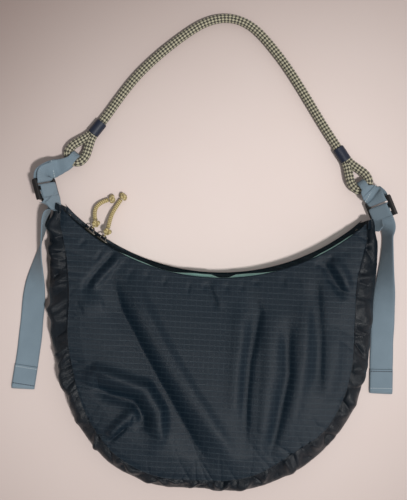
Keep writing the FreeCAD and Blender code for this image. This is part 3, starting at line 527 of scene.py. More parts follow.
ROPE_STRANDS = 9
rope_finish = braid_finish("rope_braid", ROPE_STRANDS, tint(184, 179, 154), tint(38, 37, 33), tint(100, 97, 84), 7.0)
ROPE_LOOK = (ROPE_STRANDS, 35 * MM, 84, 0.45 * MM, rope_finish, "rope")
arch = [
    (-109.0, 283.7), (-90.5, 310.0), (-63.5, 337.5), (-32.0, 363.4), (-14.0, 373.0), (3.0, 376.5), (20.0, 374.0),
    (35.5, 365.5), (52.5, 349.0), (73.9, 323.5), (95.0, 293.0), (113.0, 266.0),
]
rope_route = on_axis(eye_place("left"), (ROPE_START, ROPE_STRAIGHT))
rope_route += [Vector((x, y, ROPE_HEIGHT)) * MM for x, y in arch]
rope_route += on_axis(eye_place("right"), (ROPE_STRAIGHT, ROPE_START))
rope_line = nurbs_line(rope_route)
rope = braided("rope_braid", rope_line, ROPE / 2, 0.55 * MM, ROPE_LOOK, "handle", "handle_rope")

waxed = Finish("whipping_thread")
thread = waxed.place("UV")[1].wave(1.0)
whipping_finish = waxed.surface(
    Base_Color=waxed.mix(thread, tint(12, 18, 30), tint(26, 38, 62)),
    Roughness=0.5,
    Normal=waxed.bump(thread, 0.0003, 0.6),
)
WHIPPING_START = 26.6 * MM
WHIPPING = 17 * MM
THREAD_PITCH = 0.85 * MM


def whipping(name, place, around=48):
    """Thread wound tightly round the eye's neck, as a ridged sleeve that narrows at both ends."""
    reach = np.arange(0, WHIPPING, 0.14 * MM)
    angle, at = np.meshgrid(np.arange(around) / around, reach)
    ridge = np.abs(np.sin(math.pi * (at / THREAD_PITCH - angle)))
    shoulder = np.minimum(1, np.minimum(at, WHIPPING - at) / (1.4 * MM))
    radius = 5.2 * MM + 1.3 * MM * np.sqrt(np.clip(1 - (1 - shoulder) ** 2, 0, 1)) - 0.28 * MM * (1 - ridge)
    angle = angle * 2 * math.pi
    local = np.stack([WHIPPING_START + at, radius * np.cos(angle), radius * np.sin(angle)], -1)
    points = local.reshape(-1, 3) @ np.array(place.to_3x3()).T + np.array(place.translation)
    uv = grid_uv(np.arange(around + 1) / around, reach / THREAD_PITCH)
    uv[:, 1] -= uv[:, 0]
    caps = [range(around - 1, -1, -1), range((len(reach) - 1) * around, len(reach) * around)]
    uv = np.concatenate([uv, np.zeros((2 * around, 2))])
    piece = as_piece(name + "_thread", points, grid_faces(len(reach), around) + caps, whipping_finish,
                     "whipping_thread", uv)
    stands_for(piece, "handle", name)


EYE_HALF = [(31, 0.9), (23, 1.6), (12, 6.2), (3.2, 9.6), (-6.6, 8.4), (-10.4, 0)]
for side in SIDES:
    place = eye_place(side)
    bend = [Vector((x, y, 0)) * MM for x, y in EYE_HALF + [(x, -y) for x, y in EYE_HALF[-2::-1]]]
    braided("rope_eye_" + side + "_braid", nurbs_line([place @ p for p in bend]), ROPE / 2, 0.5 * MM, ROPE_LOOK,
            "handle", "rope_eye_" + side)
    braided("rope_neck_" + side, nurbs_line(on_axis(place, (22, 28, 36.5))), ROPE / 2, 0.5 * MM, ROPE_LOOK, "handle")
    whipping("whipping_" + side, place)
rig.cord(rope, exit=tuple(rope_route[0]), length=0.39, diameter=ROPE, far_end="object", stiffness="stiff", lay="loose",
        path=[tuple(p) for p in rope_line])

# ---- the pull cords
# Each zip slider has a golden braided cord looped on its bail: a small hard knot at the bail,
# a short run of cord and an overhand stopper knot.
PULL = 4.6 * MM
PULL_STRANDS = 8
PULL_LAY = 17 * MM
MOUTH_Y = 333
MOUTH_CENTRE = Vector((0, MOUTH_Y, 0)) * MM
CHAIN_HEIGHT = 15 * MM
CHAIN_RADIUS = 238.4 * MM
BAIL_HOLE = 6.2 * MM
KNOT_OUT = 11.25 * MM
KNOT_RADIUS = 4.3 * MM
SLIDER_ANGLES = {"left": -34.0, "right": -30.2}
pull_finish = braid_finish("pull_braid", PULL_STRANDS, tint(222, 206, 152), tint(142, 120, 70), tint(112, 96, 60), 5.0)


def chain_place(angle):
    """A frame on the zip chain: X along it to the right, Y to the back, Z out of the mouth."""
    turn = math.radians(angle)
    out = Vector((-math.sin(turn), math.cos(turn), 0))
    along = Vector((math.cos(turn), math.sin(turn), 0))
    origin = MOUTH_CENTRE - out * CHAIN_RADIUS + Vector((0, 0, CHAIN_HEIGHT))
    place = Matrix((along, (0, 0, -1), out)).transposed().to_4x4()
    place.translation = origin
    return place


def knot_line(centre, direction, size, twist):
    """A closed overhand knot about a centre, its cord winding round the given direction."""
    t = np.linspace(0, 2 * math.pi, 91)
    flat = np.stack([np.sin(t) + 2 * np.sin(2 * t), np.cos(t) - 2 * np.cos(2 * t), -1.3 * np.sin(3 * t)], 1)
    turn = Vector(direction).to_track_quat("Z", "Y").to_matrix() @ Matrix.Rotation(twist, 3, "Z")
    return flat * (size / 3.0) @ np.array(turn).T + np.array(centre)


def pull_look(around):
    """What a braid of the pull is made of, with a number of points round it."""
    return PULL_STRANDS, PULL_LAY, around, 0.3 * MM, pull_finish, "pull_cord"


pull_points = {
    "left": [(-130.5, 157.5, 9.4), (-125.5, 168.0, 5.0), (-115.5, 171.5, 4.8)],
    "right": [(-112.2, 152.2, 9.4), (-107.8, 163.0, 5.0), (-101.8, 172.6, 4.4)],
}
for side in SIDES:
    chain = chain_place(SLIDER_ANGLES[side])
    hole, knot_centre = [chain @ Vector((0, 0, reach)) for reach in (BAIL_HOLE, KNOT_OUT)]
    route = [Vector(p) * MM for p in pull_points[side]]
    toward = (route[0] - knot_centre).normalized()
    route = [knot_centre + toward * KNOT_RADIUS] + route
    last = (route[-1] - route[-2]).normalized()
    line = nurbs_line(route)
    body = "pull_" + side
    cord = braided("pull_cord_" + side + "_braid", line, PULL / 2, 0.35 * MM, pull_look(48), body,
                   "pull_cord_" + side)
    tied = []
    knots = (("base", knot_centre, toward, 2.9, 0.4), ("end", route[-1] + last * 4.0 * MM, last, 3.1, 1.1))
    for word, centre, direction, size, twist in knots:
        node = "pull_" + word + "_knot_" + side
        tied.append(braided(node + "_braid", knot_line(centre, direction, size * MM, twist), 2.1 * MM, 0.3 * MM,
                            pull_look(40), body, node))
    span = (knot_centre - hole).length / MM
    out = (knot_centre - hole).normalized()
    upper = [(span, 0.0), (span * 0.7, 1.5), (span * 0.3, 1.9), (-0.2, 1.2)]
    turned = upper + [(-0.7, 0.0)] + [(reach, -lift) for reach, lift in reversed(upper)]
    loop = nurbs_line([hole + out * (reach * MM) + Vector((0, 0, lift * MM)) for reach, lift in turned])
    braided("pull_loop_" + side, loop, 0.85 * MM, 0.15 * MM, pull_look(24), body)
    length = float(distances(line)[-1])
    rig.cord(cord, exit=tuple(route[0]), length=max(0.03, length), diameter=PULL, far_end="knot", stiffness="medium",
            path=[tuple(p) for p in line], with_pieces=tied)

# ---- the pouch
# One soft crescent of thin dark ripstop nylon: a crowned front panel, a flat back and a
# gusset between them, all seamed inside out, so every seam pulls the cloth into small puckers.
HALF_TOP = 180.5
HALF_WAIST = 175.0
WAIST_Y = 40.0
# how far above the waist the side would reach its full width
SIDE_RUN = 134.8
FLAT = 20.0
DEPTH = 175.0
# the corner: its place, and how far the side is cut in over the run below it
CORNER_X = 173.5
CORNER_Y = 160.0
CORNER_CUT = 7
CORNER_RUN = 32
THICK = 46.0
MOUTH_R = 240.0
WALL = 1.0
chance = np.random.RandomState(7)


def smooth(share):
    """0 below 0, 1 above 1, and an eased way between."""
    share = np.clip(share, 0, 1)
    return share * share * (3 - 2 * share)


def on_arc(radius, turn):
    """Points at a radius from the mouth's centre, turned from the straight way down the bag."""
    return np.stack([radius * np.sin(turn), MOUTH_Y - radius * np.cos(turn)], -1)


def edge_line(side_inset, bottom_inset, count):
    """The pouch's side and bottom edge in plan, from the right corner round to the left one."""
    top = np.linspace(CORNER_Y, WAIST_Y, 400)
    side_x = HALF_WAIST + (HALF_TOP - HALF_WAIST) * ((top - WAIST_Y) / SIDE_RUN) ** 2
    side_x = np.minimum(side_x, CORNER_X + (CORNER_Y - top) / CORNER_RUN * CORNER_CUT) - side_inset
    angle = np.linspace(0, math.pi / 2, 400)
    half = HALF_WAIST - side_inset
    quarter = np.stack([FLAT + (half - FLAT) * np.cos(angle), WAIST_Y - (DEPTH - bottom_inset) * np.sin(angle)], 1)
    right = np.concatenate([np.stack([side_x, top], 1), quarter[1:]])
    return resampled(np.concatenate([right, right[::-1] * [-1, 1]]), count)


# the front seam's insets from the side and the bottom where it is shallow and where it is deep, and
# how deep it runs at shares of its length
SHALLOW_SEAM = (7, 9)
DEEP_SEAM = (31, 26)
SEAM_SHARES = [0, 0.03, 0.08, 0.16, 0.24, 0.31, 0.36, 0.42, 0.5, 0.58, 0.64, 0.72, 0.8, 0.87, 0.93, 0.975, 1]
SEAM_DEPTHS = [0.12, 0.3, 0.62, 0.55, 0.4, 0.42, 0.75, 0.45, 0.14, 0.2, 0.3, 0.4, 0.55, 0.72, 0.6, 0.3, 0.1]


def seam_line(count):
    """The front seam in plan: near the edge at the corners, deeper along the sides."""
    shallow = edge_line(*SHALLOW_SEAM, count)
    depth = np.interp(np.linspace(0, 1, count), SEAM_SHARES, SEAM_DEPTHS)
    kernel = np.hanning(count // 30 * 2 + 1)
    depth = np.convolve(np.pad(depth, len(kernel) // 2, mode="edge"), kernel / kernel.sum(), mode="valid")
    return shallow + (edge_line(*DEEP_SEAM, count) - shallow) * depth[:, None]


def from_line(x, y, line):
    """Signed distance from a plan line, positive to its left, and the share along it."""
    line = np.asarray(line, float)
    before = distances(line)
    best = np.full(x.shape, 1e9)
    signed = np.zeros(x.shape)
    share = np.zeros(x.shape)
    for start, end, walked, length in zip(line, line[1:], before, np.diff(before)):
        dx, dy = end - start
        along = np.clip(((x - start[0]) * dx + (y - start[1]) * dy) / length ** 2, 0, 1)
        gap_x = x - start[0] - along * dx
        gap_y = y - start[1] - along * dy
        gap = np.hypot(gap_x, gap_y)
        nearer = gap < best
        best = np.where(nearer, gap, best)
        signed = np.where(nearer, gap * np.sign(dx * gap_y - dy * gap_x), signed)
        share = np.where(nearer, (walked + along * length) / before[-1], share)
    return signed, share


def crease(x, y, line, height, width, lean=0.0, fade=0.25):
    """A ridge of a given height and width over a plan line, or a valley if height is negative.

    lean makes the ridge steep on its left and long on its right, and fade softens its ends.
    """
    gap, share = from_line(x, y, line)
    spread = np.where(gap > 0, width * (1 - lean), width * (1 + lean))
    return height * smooth(share / fade) * smooth((1 - share) / fade) * np.exp(-(gap / spread) ** 2)


plan = edge_line(0, 0, 481)
# the crown's height over the distance from the side edge, and over that from the mouth
BY_SIDE = [0, 8, 19, 36, 60, 89, 300], [25, 30, 35.1, 40.2, 44.1, 46, 46]
BY_MOUTH = [-20, 0, 22, 48, 78, 112, 400], [29, 30, 35.1, 40.2, 44.1, 46, 46]


def front_height(x, y):
    """The front panel's plain crown over a point of the plan."""
    below_side = THICK - np.interp(np.abs(from_line(x, y, plan)[0]), *BY_SIDE)
    below_mouth = THICK - np.interp(np.hypot(x, y - MOUTH_Y) - MOUTH_R, *BY_MOUTH)
    return THICK - np.hypot(below_side, below_mouth)


# each fold of the front panel: its line in plan, its height, its width and its lean
FOLDS = [
    ([(-96, 116), (-84, 88), (-70, 55), (-46, 15), (-11, -36), (20, -78), (46, -118)], 8.0, 12, 0.15),
    ([(-116, 112), (-106, 84), (-94, 52), (-71, 14), (-38, -36), (-8, -84), (18, -120)], -6.0, 10, 0.3),
    ([(-92, 116), (-110, 96), (-130, 72)], 5.5, 6, 0.3),
    ([(-101, 118), (-119, 96), (-140, 68)], -5.0, 6, -0.3),
    ([(-112, 62), (-140, 52)], 2.0, 9, 0.0),
    ([(-138, -30), (-118, -14), (-92, -20), (-62, -28), (-47, -50), (-44, -78), (-56, -100)], 8.5, 8.5, 0.25),
    ([(-128, -30), (-102, -38), (-76, -42), (-64, -58), (-62, -80)], -6.0, 7, 0.0),
    ([(-104, -88), (-86, -66), (-74, -54), (-68, -66)], 5.5, 6, 0.0),
    ([(-108, -96), (-92, -80), (-76, -64)], -5.0, 2.6, 0.0),
    ([(34, -60), (32, -10), (34, 30), (32, 74)], 3.0, 8, 0.0),
    ([(42, 92), (54, 58), (46, 6), (44, -37), (46, -96)], -4.6, 7, 0.3),
    ([(66, 70), (66, 10), (64, -60), (60, -104)], 3.4, 9, -0.2),
    ([(84, 64), (87, -5), (78, -59), (68, -110)], -5.0, 7, 0.2),
    ([(100, 84), (103, 20), (96, -40), (86, -88)], 3.4, 8, 0.0),
    ([(110, 112), (119, 37), (120, -34)], -4.4, 8, 0.3),
    ([(128, 122), (140, 102), (152, 84)], 4.6, 6, 0.0),
    ([(114, 122), (129, 98), (146, 76)], -4.2, 6, 0.0),
    ([(134, 48), (134, 10), (126, -34)], 2.0, 10, 0.0),
    ([(-4, 90), (4, 72), (10, 58)], -1.8, 3.5, 0.0),
    ([(2, 90), (10, 72), (15, 60)], 1.2, 4.0, 0.0),
]
# short creases that run down from the mouth
small = []
for angle in np.arange(-38, 39, 4.6):
    turn = math.radians(angle + chance.uniform(-1.2, 1.2))
    reach = chance.uniform(8, 24)
    bent = turn + chance.uniform(-0.15, 0.15)
    start = on_arc(MOUTH_R + 3, turn)
    run = reach * np.array([math.sin(bent), -math.cos(bent)])
    small.append(([start, start + run], chance.uniform(-1.7, -0.8), chance.uniform(1.8, 3.4), 0.0))
seam = seam_line(721)
seam_run = distances(seam)[-1]
# puckers along the seam: where, how high, how wide, their lean and their reach into the panel
marks = []
at = 6.0
while at < seam_run - 6:
    marks.append((at, chance.uniform(0.5, 2.2), chance.uniform(1.6, 4.0), chance.uniform(-0.8, 0.8),
                  chance.uniform(8, 30)))
    at += chance.uniform(6, 17)


def seam_puckers(run, inward):
    """Small gathers square to the seam: run is the distance along it, inward that into the panel."""
    total = np.zeros(run.shape)
    for middle, height, width, lean, reach in marks:
        spread = np.abs(run - middle - lean * inward)
        total -= height * np.exp(-spread / width) * np.exp(-np.abs(inward) / reach)
    return total


def front_relief(x, y):
    """Everything that the front panel's cloth does over its plain crown."""
    total = sum(crease(x, y, *fold) for fold in FOLDS)
    total = total + sum(crease(x, y, *fold, 0.5) for fold in small)
    gap, share = from_line(x, y, seam)
    inward = np.abs(gap)
    return total * smooth(inward / 14) + seam_puckers(share * seam_run, inward) * 0.8


# the ripstop grid's rows and columns, in millimetres, and the weave's threads per millimetre
GRID_ROW = 5.9
GRID_COLUMN = 5.4
THREADS = 2.6


def nylon(name, base, lit, roughness, threads):
    """Thin coated ripstop: a plain weave with a heavier thread every few millimetres."""
    finish = Finish(name)
    x, y, _ = finish.place("UV")
    row = 1 - ((y / GRID_ROW).from_middle() * GRID_ROW).step(0.1, 0.95)
    column = 1 - ((x / GRID_COLUMN).from_middle() * GRID_COLUMN).step(0.1, 0.7)
    broken = finish.cloud(900.0, 2.0).step(0.35, 0.62)
    grid = (row * (broken * 0.6 + 0.4)).maths("MAXIMUM", column * broken * 0.6) * threads
    weave = (x * THREADS).wave(1.0) * (y * THREADS).wave(1.0)
    wear = finish.cloud(14.0, 4.0)
    cloth = finish.mix(wear * 0.5 + weave * 0.25, base, lit)
    return finish.surface(
        Base_Color=finish.mix(grid * 0.11, cloth, tint(92, 112, 122)),
        Roughness=wear * 0.12 + roughness,
        Normal=finish.bump(weave * 0.5 + grid * 0.9 + finish.cloud(260.0, 4.0) * 0.8, 0.0003, 0.55),
        Specular_IOR_Level=0.3,
    )


ripstop = nylon("ripstop_nylon", tint(7, 22, 34), tint(14, 33, 46), 0.38, 1.0)
side_nylon = nylon("gusset_nylon", tint(9, 17, 25), tint(15, 25, 34), 0.27, 0.3)


def shell_faces(rows, columns):
    """Faces of two stacked grids, the first outside, the second inside, closed round their rim."""
    count = rows * columns
    outer = grid_faces(rows, columns, False)
    inner = [tuple(count + v for v in reversed(face)) for face in outer]
    rim = [row * columns for row in range(rows)]
    rim += [(rows - 1) * columns + column for column in range(1, columns)]
    rim += [row * columns + columns - 1 for row in range(rows - 2, -1, -1)]
    rim += [column for column in range(columns - 2, 0, -1)]
    edge = [(a, count + a, count + b, b) for a, b in zip(rim, rim[1:] + rim[:1])]
    return outer + inner + edge


def square_to(skin):
    """The direction square to a grid of points, at each of them."""
    out = np.cross(np.gradient(skin, axis=1), np.gradient(skin, axis=0))
    return out / np.maximum(np.linalg.norm(out, axis=2), 1e-9)[..., None]


def cloth_shell(name, outside, thickness, uv, material, slot, node, flip=False):
    """A panel of cloth from a grid of outside points, with a second skin inside it."""
    inside = outside + square_to(outside) * (thickness if flip else -thickness)
    verts = np.concatenate([outside.reshape(-1, 3), inside.reshape(-1, 3)]) * MM
    faces = shell_faces(*outside.shape[:2])
    if not flip:
        faces = [tuple(reversed(face)) for face in faces]
    flat = np.concatenate([uv.reshape(-1, 2)] * 2)
    stands_for(as_piece(name, verts, faces, material, slot, flat[np.concatenate(faces)]), "bag", node)


def panel_grid(columns, rows):
    """A plan grid that fills the front panel: columns from left to right, rows from mouth to bottom."""
    whole = seam_line(2001)[::-1]
    cut = [int(np.argmin(np.linalg.norm(whole - corner, axis=1))) for corner in ((-104.0, -82.0), (104.0, -82.0))]
    left = resampled(whole[:cut[0] + 1], rows)
    low = resampled(whole[cut[0]:cut[1] + 1], columns)
    right = resampled(whole[cut[1]:][::-1], rows)
    first, last = [math.atan2(side[0, 0], MOUTH_Y - side[0, 1]) for side in (left, right)]
    top = on_arc(MOUTH_R, np.linspace(first, last, columns))
    left[0], right[0] = top[0], top[-1]
    u = np.linspace(0, 1, columns)[None, :, None]
    v = np.linspace(0, 1, rows)[:, None, None]
    spread = (1 - v) * top[None] + v * low[None] + (1 - u) * left[:, None] + u * right[:, None]
    corners = (1 - u) * (1 - v) * top[0] + u * (1 - v) * top[-1] + (1 - u) * v * low[0] + u * v * low[-1]
    return spread - corners


# how far the slack pouch slumps out at each turn, in degrees from +X towards the bottom
LEAN_TURNS = [-90, -28, -15, 0, 15, 30, 45, 60, 75, 90, 105, 120, 135, 150, 165, 180, 195, 208, 270]
LEAN_OUT = [0, 0, 3.5, 3.0, 2.0, 3.5, 5.5, 3.5, 2.5, 0.7, 2.0, 2.0, -3.0, -8.0, -5.5, -2.5, 0, 0, 0]


def pinched(points):
    """The slack pouch as it lies: slumped to its right, its corners drawn in towards the straps."""
    x, y, z = points[..., 0], points[..., 1], points[..., 2]
    out_x, out_y = x - 3.0, y - 69.0
    reach = np.hypot(out_x, out_y)
    turn = (np.degrees(np.arctan2(-out_y, out_x)) + 90) % 360 - 90
    shift = np.interp(turn, LEAN_TURNS, LEAN_OUT) * np.clip(reach / 180, 0, 1) ** 3
    x = x + shift * out_x / np.maximum(reach, 1)
    y = y + shift * out_y / np.maximum(reach, 1)
    share = smooth((np.abs(x) - 156) / 14) * smooth((y - 132) / 28)
    tip = np.sign(x) * 170.5
    return np.stack([x + (tip - x) * share * 0.42, y + share * 4.5, z + (15.5 - z) * share * 0.5], -1)


grid = panel_grid(310, 165)
x, y = grid[..., 0], grid[..., 1]
front = pinched(np.stack([x, y, front_height(x, y) + front_relief(x, y)], -1))
cloth_shell("front_panel_cloth", front, WALL, grid, ripstop, "ripstop", "front_panel")

# the gusset: its section runs from the front seam, over the shoulder and under to the back seam,
# as insets from the side and the bottom edge, and a height
SECTION = [(4.6, 4.0, 26.6), (2.2, 1.8, 23.2), (0.4, 0.3, 18.8), (0.0, 0.0, 14.7), (0.8, 0.8, 9.8), (2.5, 2.5, 5.5),
           (4.6, 4.6, 2.6), (8.0, 8.0, 0.4), (14.0, 12.0, 0.3)]
GUSSET_ROWS = 900
GUSSET_COLUMNS = 44
LOWEST = 0.3


def with_height(plan_line, height):
    """A plan line with a height for each of its points, or one for all."""
    return np.column_stack([plan_line, np.broadcast_to(height, len(plan_line))])


top = seam_line(GUSSET_ROWS)
rim = with_height(top, front_height(*top.T) + front_relief(*top.T))
edges = [with_height(edge_line(side, bottom, GUSSET_ROWS), height) for side, bottom, height in SECTION]
levels = [rim]
for share, lift in ((0.3, 0.8), (0.55, 1.2), (0.8, 0.9)):
    levels.append(rim * (1 - share) + edges[0] * share + [0, 0, lift])
levels = np.array(levels + edges)
steps = np.linspace(0, len(levels) - 1, GUSSET_COLUMNS)
below = np.clip(np.floor(steps).astype(int), 0, len(levels) - 2)
part_way = (steps - below)[:, None, None]
strip = (levels[below] * (1 - part_way) + levels[below + 1] * part_way).transpose(1, 0, 2)
out = square_to(strip)
if out[0, 20, 0] < 0:
    out = -out
run, width = np.meshgrid(np.linspace(0, seam_run, GUSSET_ROWS), np.linspace(0, 1, GUSSET_COLUMNS), indexing="ij")
relief = seam_puckers(run, width * 18) * 0.8
fold_at = 4.0
while fold_at < seam_run:
    height = chance.uniform(2.0, 5.0)
    size = chance.uniform(3.0, 8.5)
    lean = chance.uniform(-34, 34)
    middle = chance.uniform(0.1, 0.42)
    spread = chance.uniform(0.16, 0.34)
    sign = chance.choice([-1, 1, 1])
    offset = np.abs(run - fold_at - lean * (width - middle)) / size
    ridge = np.exp(-offset) if sign < 0 else np.exp(-offset ** 2)
    relief += sign * height * ridge * np.exp(-((width - middle) / spread) ** 2)
    fold_at += chance.uniform(6, 14)
window = smooth(width / 0.05) * smooth((0.8 - width) / 0.5)
strip = strip + out * (relief * window)[..., None]
strip[..., 2] = np.maximum(strip[..., 2], LOWEST)
cloth_shell("gusset_cloth", pinched(strip), WALL, np.stack([run, width * 60], -1), side_nylon, "gusset_nylon", "gusset",
            flip=True)

# the back's mouth edge reaches LIP millimetres further towards the mouth's centre than its plan
LIP = 5.5
LIP_RADIUS = 252
grid = panel_grid(120, 70)
x, y = grid[..., 0], grid[..., 1]
inward = np.abs(from_line(x, y, seam)[0])
swell = sum(np.abs(crease(-x, y - 6, line, height, width * 1.2, lean)) * 0.25 for line, height, width, lean in FOLDS)
reach = np.hypot(x, y - MOUTH_Y)
lip = 1 - LIP * smooth((LIP_RADIUS - reach) / 12) / reach
back = np.stack([x * lip, MOUTH_Y + (y - MOUTH_Y) * lip, LOWEST + smooth(inward / 20) * swell + WALL], -1)
cloth_shell("back_panel_cloth", pinched(back), WALL, grid, ripstop, "ripstop", "back_panel")

# ---- the zip
# A coil zip of teal tape runs along the mouth. Its tapes are sewn inside the two edges of the
# mouth, and the coil's turns mesh between them; a small metal stop is crimped on at each end.
ZIP_HALF = 42.0
COIL_HALF = 41.0
TOOTH_PITCH = 1.3 * MM

weave = Finish("zip_tape_weave")
run, rise, _ = weave.place("UV")
ribs = (run * 1.1).wave(1.0) * (rise * 1.6).wave(1.0)
tape_finish = weave.surface(
    Base_Color=weave.mix(ribs * 0.5 + weave.cloud(300.0) * 0.3, tint(112, 160, 154), tint(162, 206, 198)),
    Roughness=0.72,
    Normal=weave.bump(ribs, 0.0002, 0.6),
)
nylon_coil = Finish("zip_coil_nylon")
coil_finish = nylon_coil.surface(
    Base_Color=nylon_coil.mix(nylon_coil.cloud(500.0), tint(104, 150, 142), tint(128, 170, 160)),
    Roughness=0.35,
)


def bulge(turn, start, rise, end, fall):
    """0 before start and after end, 1 between, and smooth over rise and fall."""
    return smooth((turn - start) / rise) * smooth((end - turn) / fall)


def tape_rows(turn, side):
    """A tape across its width, as (radius, height) rows from its sewn edge to the coil."""
    if side == "back":
        return [(241.0, 0.8), (240.9, 4.5), (240.7, 8.5), (240.5, 11.0), (240.3, 13.3)]
    slack = 3.0 * bulge(turn, -10.5, 7, 2.4, 2.5) + 2.8 * bulge(turn, 4.4, 2.5, 17.5, 9)
    slack += bulge(turn, -26, 4, -14, 4) + 1.2 * bulge(turn, 26, 4, 41, 4)
    return [(241.0, 28.6), (240.6 - slack * 0.7, 26.4), (239.6 - slack, 22.5), (240.0 - slack * 0.5, 19.3),
            (240.3, 16.7)]


TAPE_LOW = 16
for side in ("front", "back"):
    turns = np.radians(np.linspace(-ZIP_HALF, ZIP_HALF, 300))
    rows = []
    for turn in turns:
        profile = np.array(tape_rows(math.degrees(turn), side), float)
        radius, height = picked(profile, np.linspace(0, 1, len(profile)), np.linspace(0, 1, 13)).T
        rows.append(with_height(on_arc(radius, turn), height))
    skin = np.array(rows)
    roof = np.maximum(front_height(skin[..., 0], skin[..., 1]) - 2.2, TAPE_LOW)
    skin[..., 2] = np.where(skin[..., 2] > TAPE_LOW, np.minimum(skin[..., 2], roof), skin[..., 2])
    tape_uv = np.stack(np.broadcast_arrays(turns[:, None] * 240, skin[..., 2]), -1)
    cloth_shell("zip_tape_" + side + "_weave", skin, 0.6, tape_uv, tape_finish, "zip_tape", "zip_tape_" + side,
                flip=side == "front")


def coil_turn(height_sign):
    """One turn of the coil: a flattened loop of monofilament, its long way across the chain."""
    made = []
    for at in np.linspace(0, 2 * math.pi, 10, endpoint=False):
        middle = Vector((0.42 * math.sin(at), 1.45 * math.cos(at), 0.75 * math.sin(at) + 0.9))
        out = Vector((0, math.cos(at), math.sin(at)))
        for turn in np.linspace(0, 2 * math.pi, 5, endpoint=False):
            made.append((middle + (out * math.cos(turn) + Vector((1, 0, 0)) * math.sin(turn)) * 0.3) * MM)
    made = [(x, -z, height_sign * y) for x, y, z in made]
    faces = [[spot % len(made) for spot in face[::height_sign]] for face in grid_faces(11, 5)]
    return as_piece("coil_turn", made, faces, coil_finish)


def evaluated(piece):
    """The mesh of a piece with its modifiers applied."""
    return bpy.data.meshes.new_from_object(piece.evaluated_get(bpy.context.evaluated_depsgraph_get()))


def repeated(name, item, values, lay_out):
    """A Geometry Nodes piece: an item at every spot that lay_out's nodes make.

    values are the modifier's numbers. lay_out gets the nodes and those numbers as signals, and
    gives the spots and the turn at each.
    """
    nodes = Nodes(bpy.data.node_groups.new(name, "GeometryNodeTree"))
    values = {"Item": item, **values}
    for word in values:
        kind = {"Item": "Object", "Count": "Int"}.get(word, "Float")
        nodes.tree.interface.new_socket(word, in_out="INPUT", socket_type="NodeSocket" + kind)
    nodes.tree.interface.new_socket("Geometry", in_out="OUTPUT", socket_type="NodeSocketGeometry")
    given = nodes.node("NodeGroupInput")
    spots, turn = lay_out(nodes, given)
    thing = nodes.node("GeometryNodeObjectInfo", inputs={"Object": given.also("Item")}, out="Geometry")
    laid = nodes.node("GeometryNodeInstanceOnPoints", inputs={"Points": spots, "Instance": thing, "Rotation": turn})
    solid = nodes.node("GeometryNodeRealizeInstances", inputs=[laid])
    material = item.data.materials[0]
    painted = nodes.node("GeometryNodeSetMaterial", inputs={"Geometry": solid, "Material": material})
    nodes.feed(nodes.tree.nodes.new("NodeGroupOutput").inputs["Geometry"], painted)
    carrier = as_piece(name + "_carrier", [(0, 0, 0)], [], material)
    modifier = carrier.modifiers.new("repeat", "NODES")
    modifier.node_group = nodes.tree
    for socket in nodes.tree.interface.items_tree:
        if socket.in_out == "INPUT":
            modifier[socket.identifier] = values[socket.name]
    mesh = evaluated(carrier)
    mesh.name = name
    piece = bpy.data.objects.new(name, mesh)
    scene.collection.objects.link(piece)
    bpy.data.objects.remove(carrier)
    bpy.data.objects.remove(item)
    return piece


def along_arc(nodes, given):
    """Spots along an arc about the mouth's centre, each turned along it."""
    arc = nodes.node("GeometryNodeCurveArc", inputs={
        "Radius": given.also("Radius"), "Start Angle": given.also("Start"), "Sweep Angle": given.also("Sweep"),
        "Resolution": 200})
    middle = nodes.node("CombineXYZ", inputs=[0.0, MOUTH_CENTRE.y, given.also("Height")])
    moved = nodes.node("GeometryNodeTransform", inputs={"Geometry": arc, "Translation": middle})
    spots = nodes.node("GeometryNodeCurveToPoints", inputs={"Curve": moved, "Count": given.also("Count")})
    turn = nodes.node("FunctionNodeAlignRotationToVector", {"axis": "X", "pivot_axis": "Z"},
                      {"Vector": spots.also("Tangent")}, out="Rotation")
    return spots, turn


COIL_RADIUS = 0.2406
sweep = math.radians(2 * COIL_HALF)
for side, height, flip in (("front", 17.1, 1), ("back", 12.9, -1)):
    coil = repeated("zip_coil_" + side + "_turns", coil_turn(flip), {
        "Radius": COIL_RADIUS, "Height": height * MM, "Start": math.radians(-90 - COIL_HALF), "Sweep": sweep,
        "Count": int(round(sweep * COIL_RADIUS / TOOTH_PITCH))}, along_arc)
    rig.slot(coil, "zip_chain")
    stands_for(coil, "bag", "zip_coil_" + side)

# ---- the sliders, their bails and the stops
# Small cast sliders in dark satin metal, each with a wire bail; their edges are tumbled round.
satin = Finish("slider_satin")
grain = satin.cloud(700.0, 5.0)
metal = satin.surface(
    Base_Color=satin.mix(grain, tint(66, 63, 58), tint(92, 88, 82)),
    Roughness=grain * 0.2 + 0.28,
    Normal=satin.bump(grain, 0.00005, 0.5),
    Metallic=1.0,
)
# welds the faces' shared points, joins the flat faces and rounds the edges
ROUNDING = (
    ("WELD", {"merge_threshold": 0.00002}),
    ("DECIMATE", {"decimate_type": "DISSOLVE", "angle_limit": math.radians(2)}),
    ("BEVEL", {"limit_method": "ANGLE", "angle_limit": math.radians(32), "use_clamp_overlap": True}),
)


def rounded_copy(node, width, material, slot, body, segments=3):
    """A closed copy of a rigid part with its edges rounded, in the part's own place."""
    piece = bpy.data.objects.new(node + "_finished", frame["nodes"][node].data.copy())
    scene.collection.objects.link(piece)
    piece.data.materials.clear()
    piece.data.materials.append(material)
    for kind, settings in ROUNDING:
        modifier = piece.modifiers.new(kind, kind)
        for name, value in settings.items():
            setattr(modifier, name, value)
    modifier.width = width
    modifier.segments = segments
    made = evaluated(piece)
    piece.modifiers.clear()
    piece.data = made
    made.polygons.foreach_set("use_smooth", [True] * len(made.polygons))
    made.set_sharp_from_angle(angle=math.radians(40))
    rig.slot(piece, slot)
    stands_for(piece, body, node)
    return piece


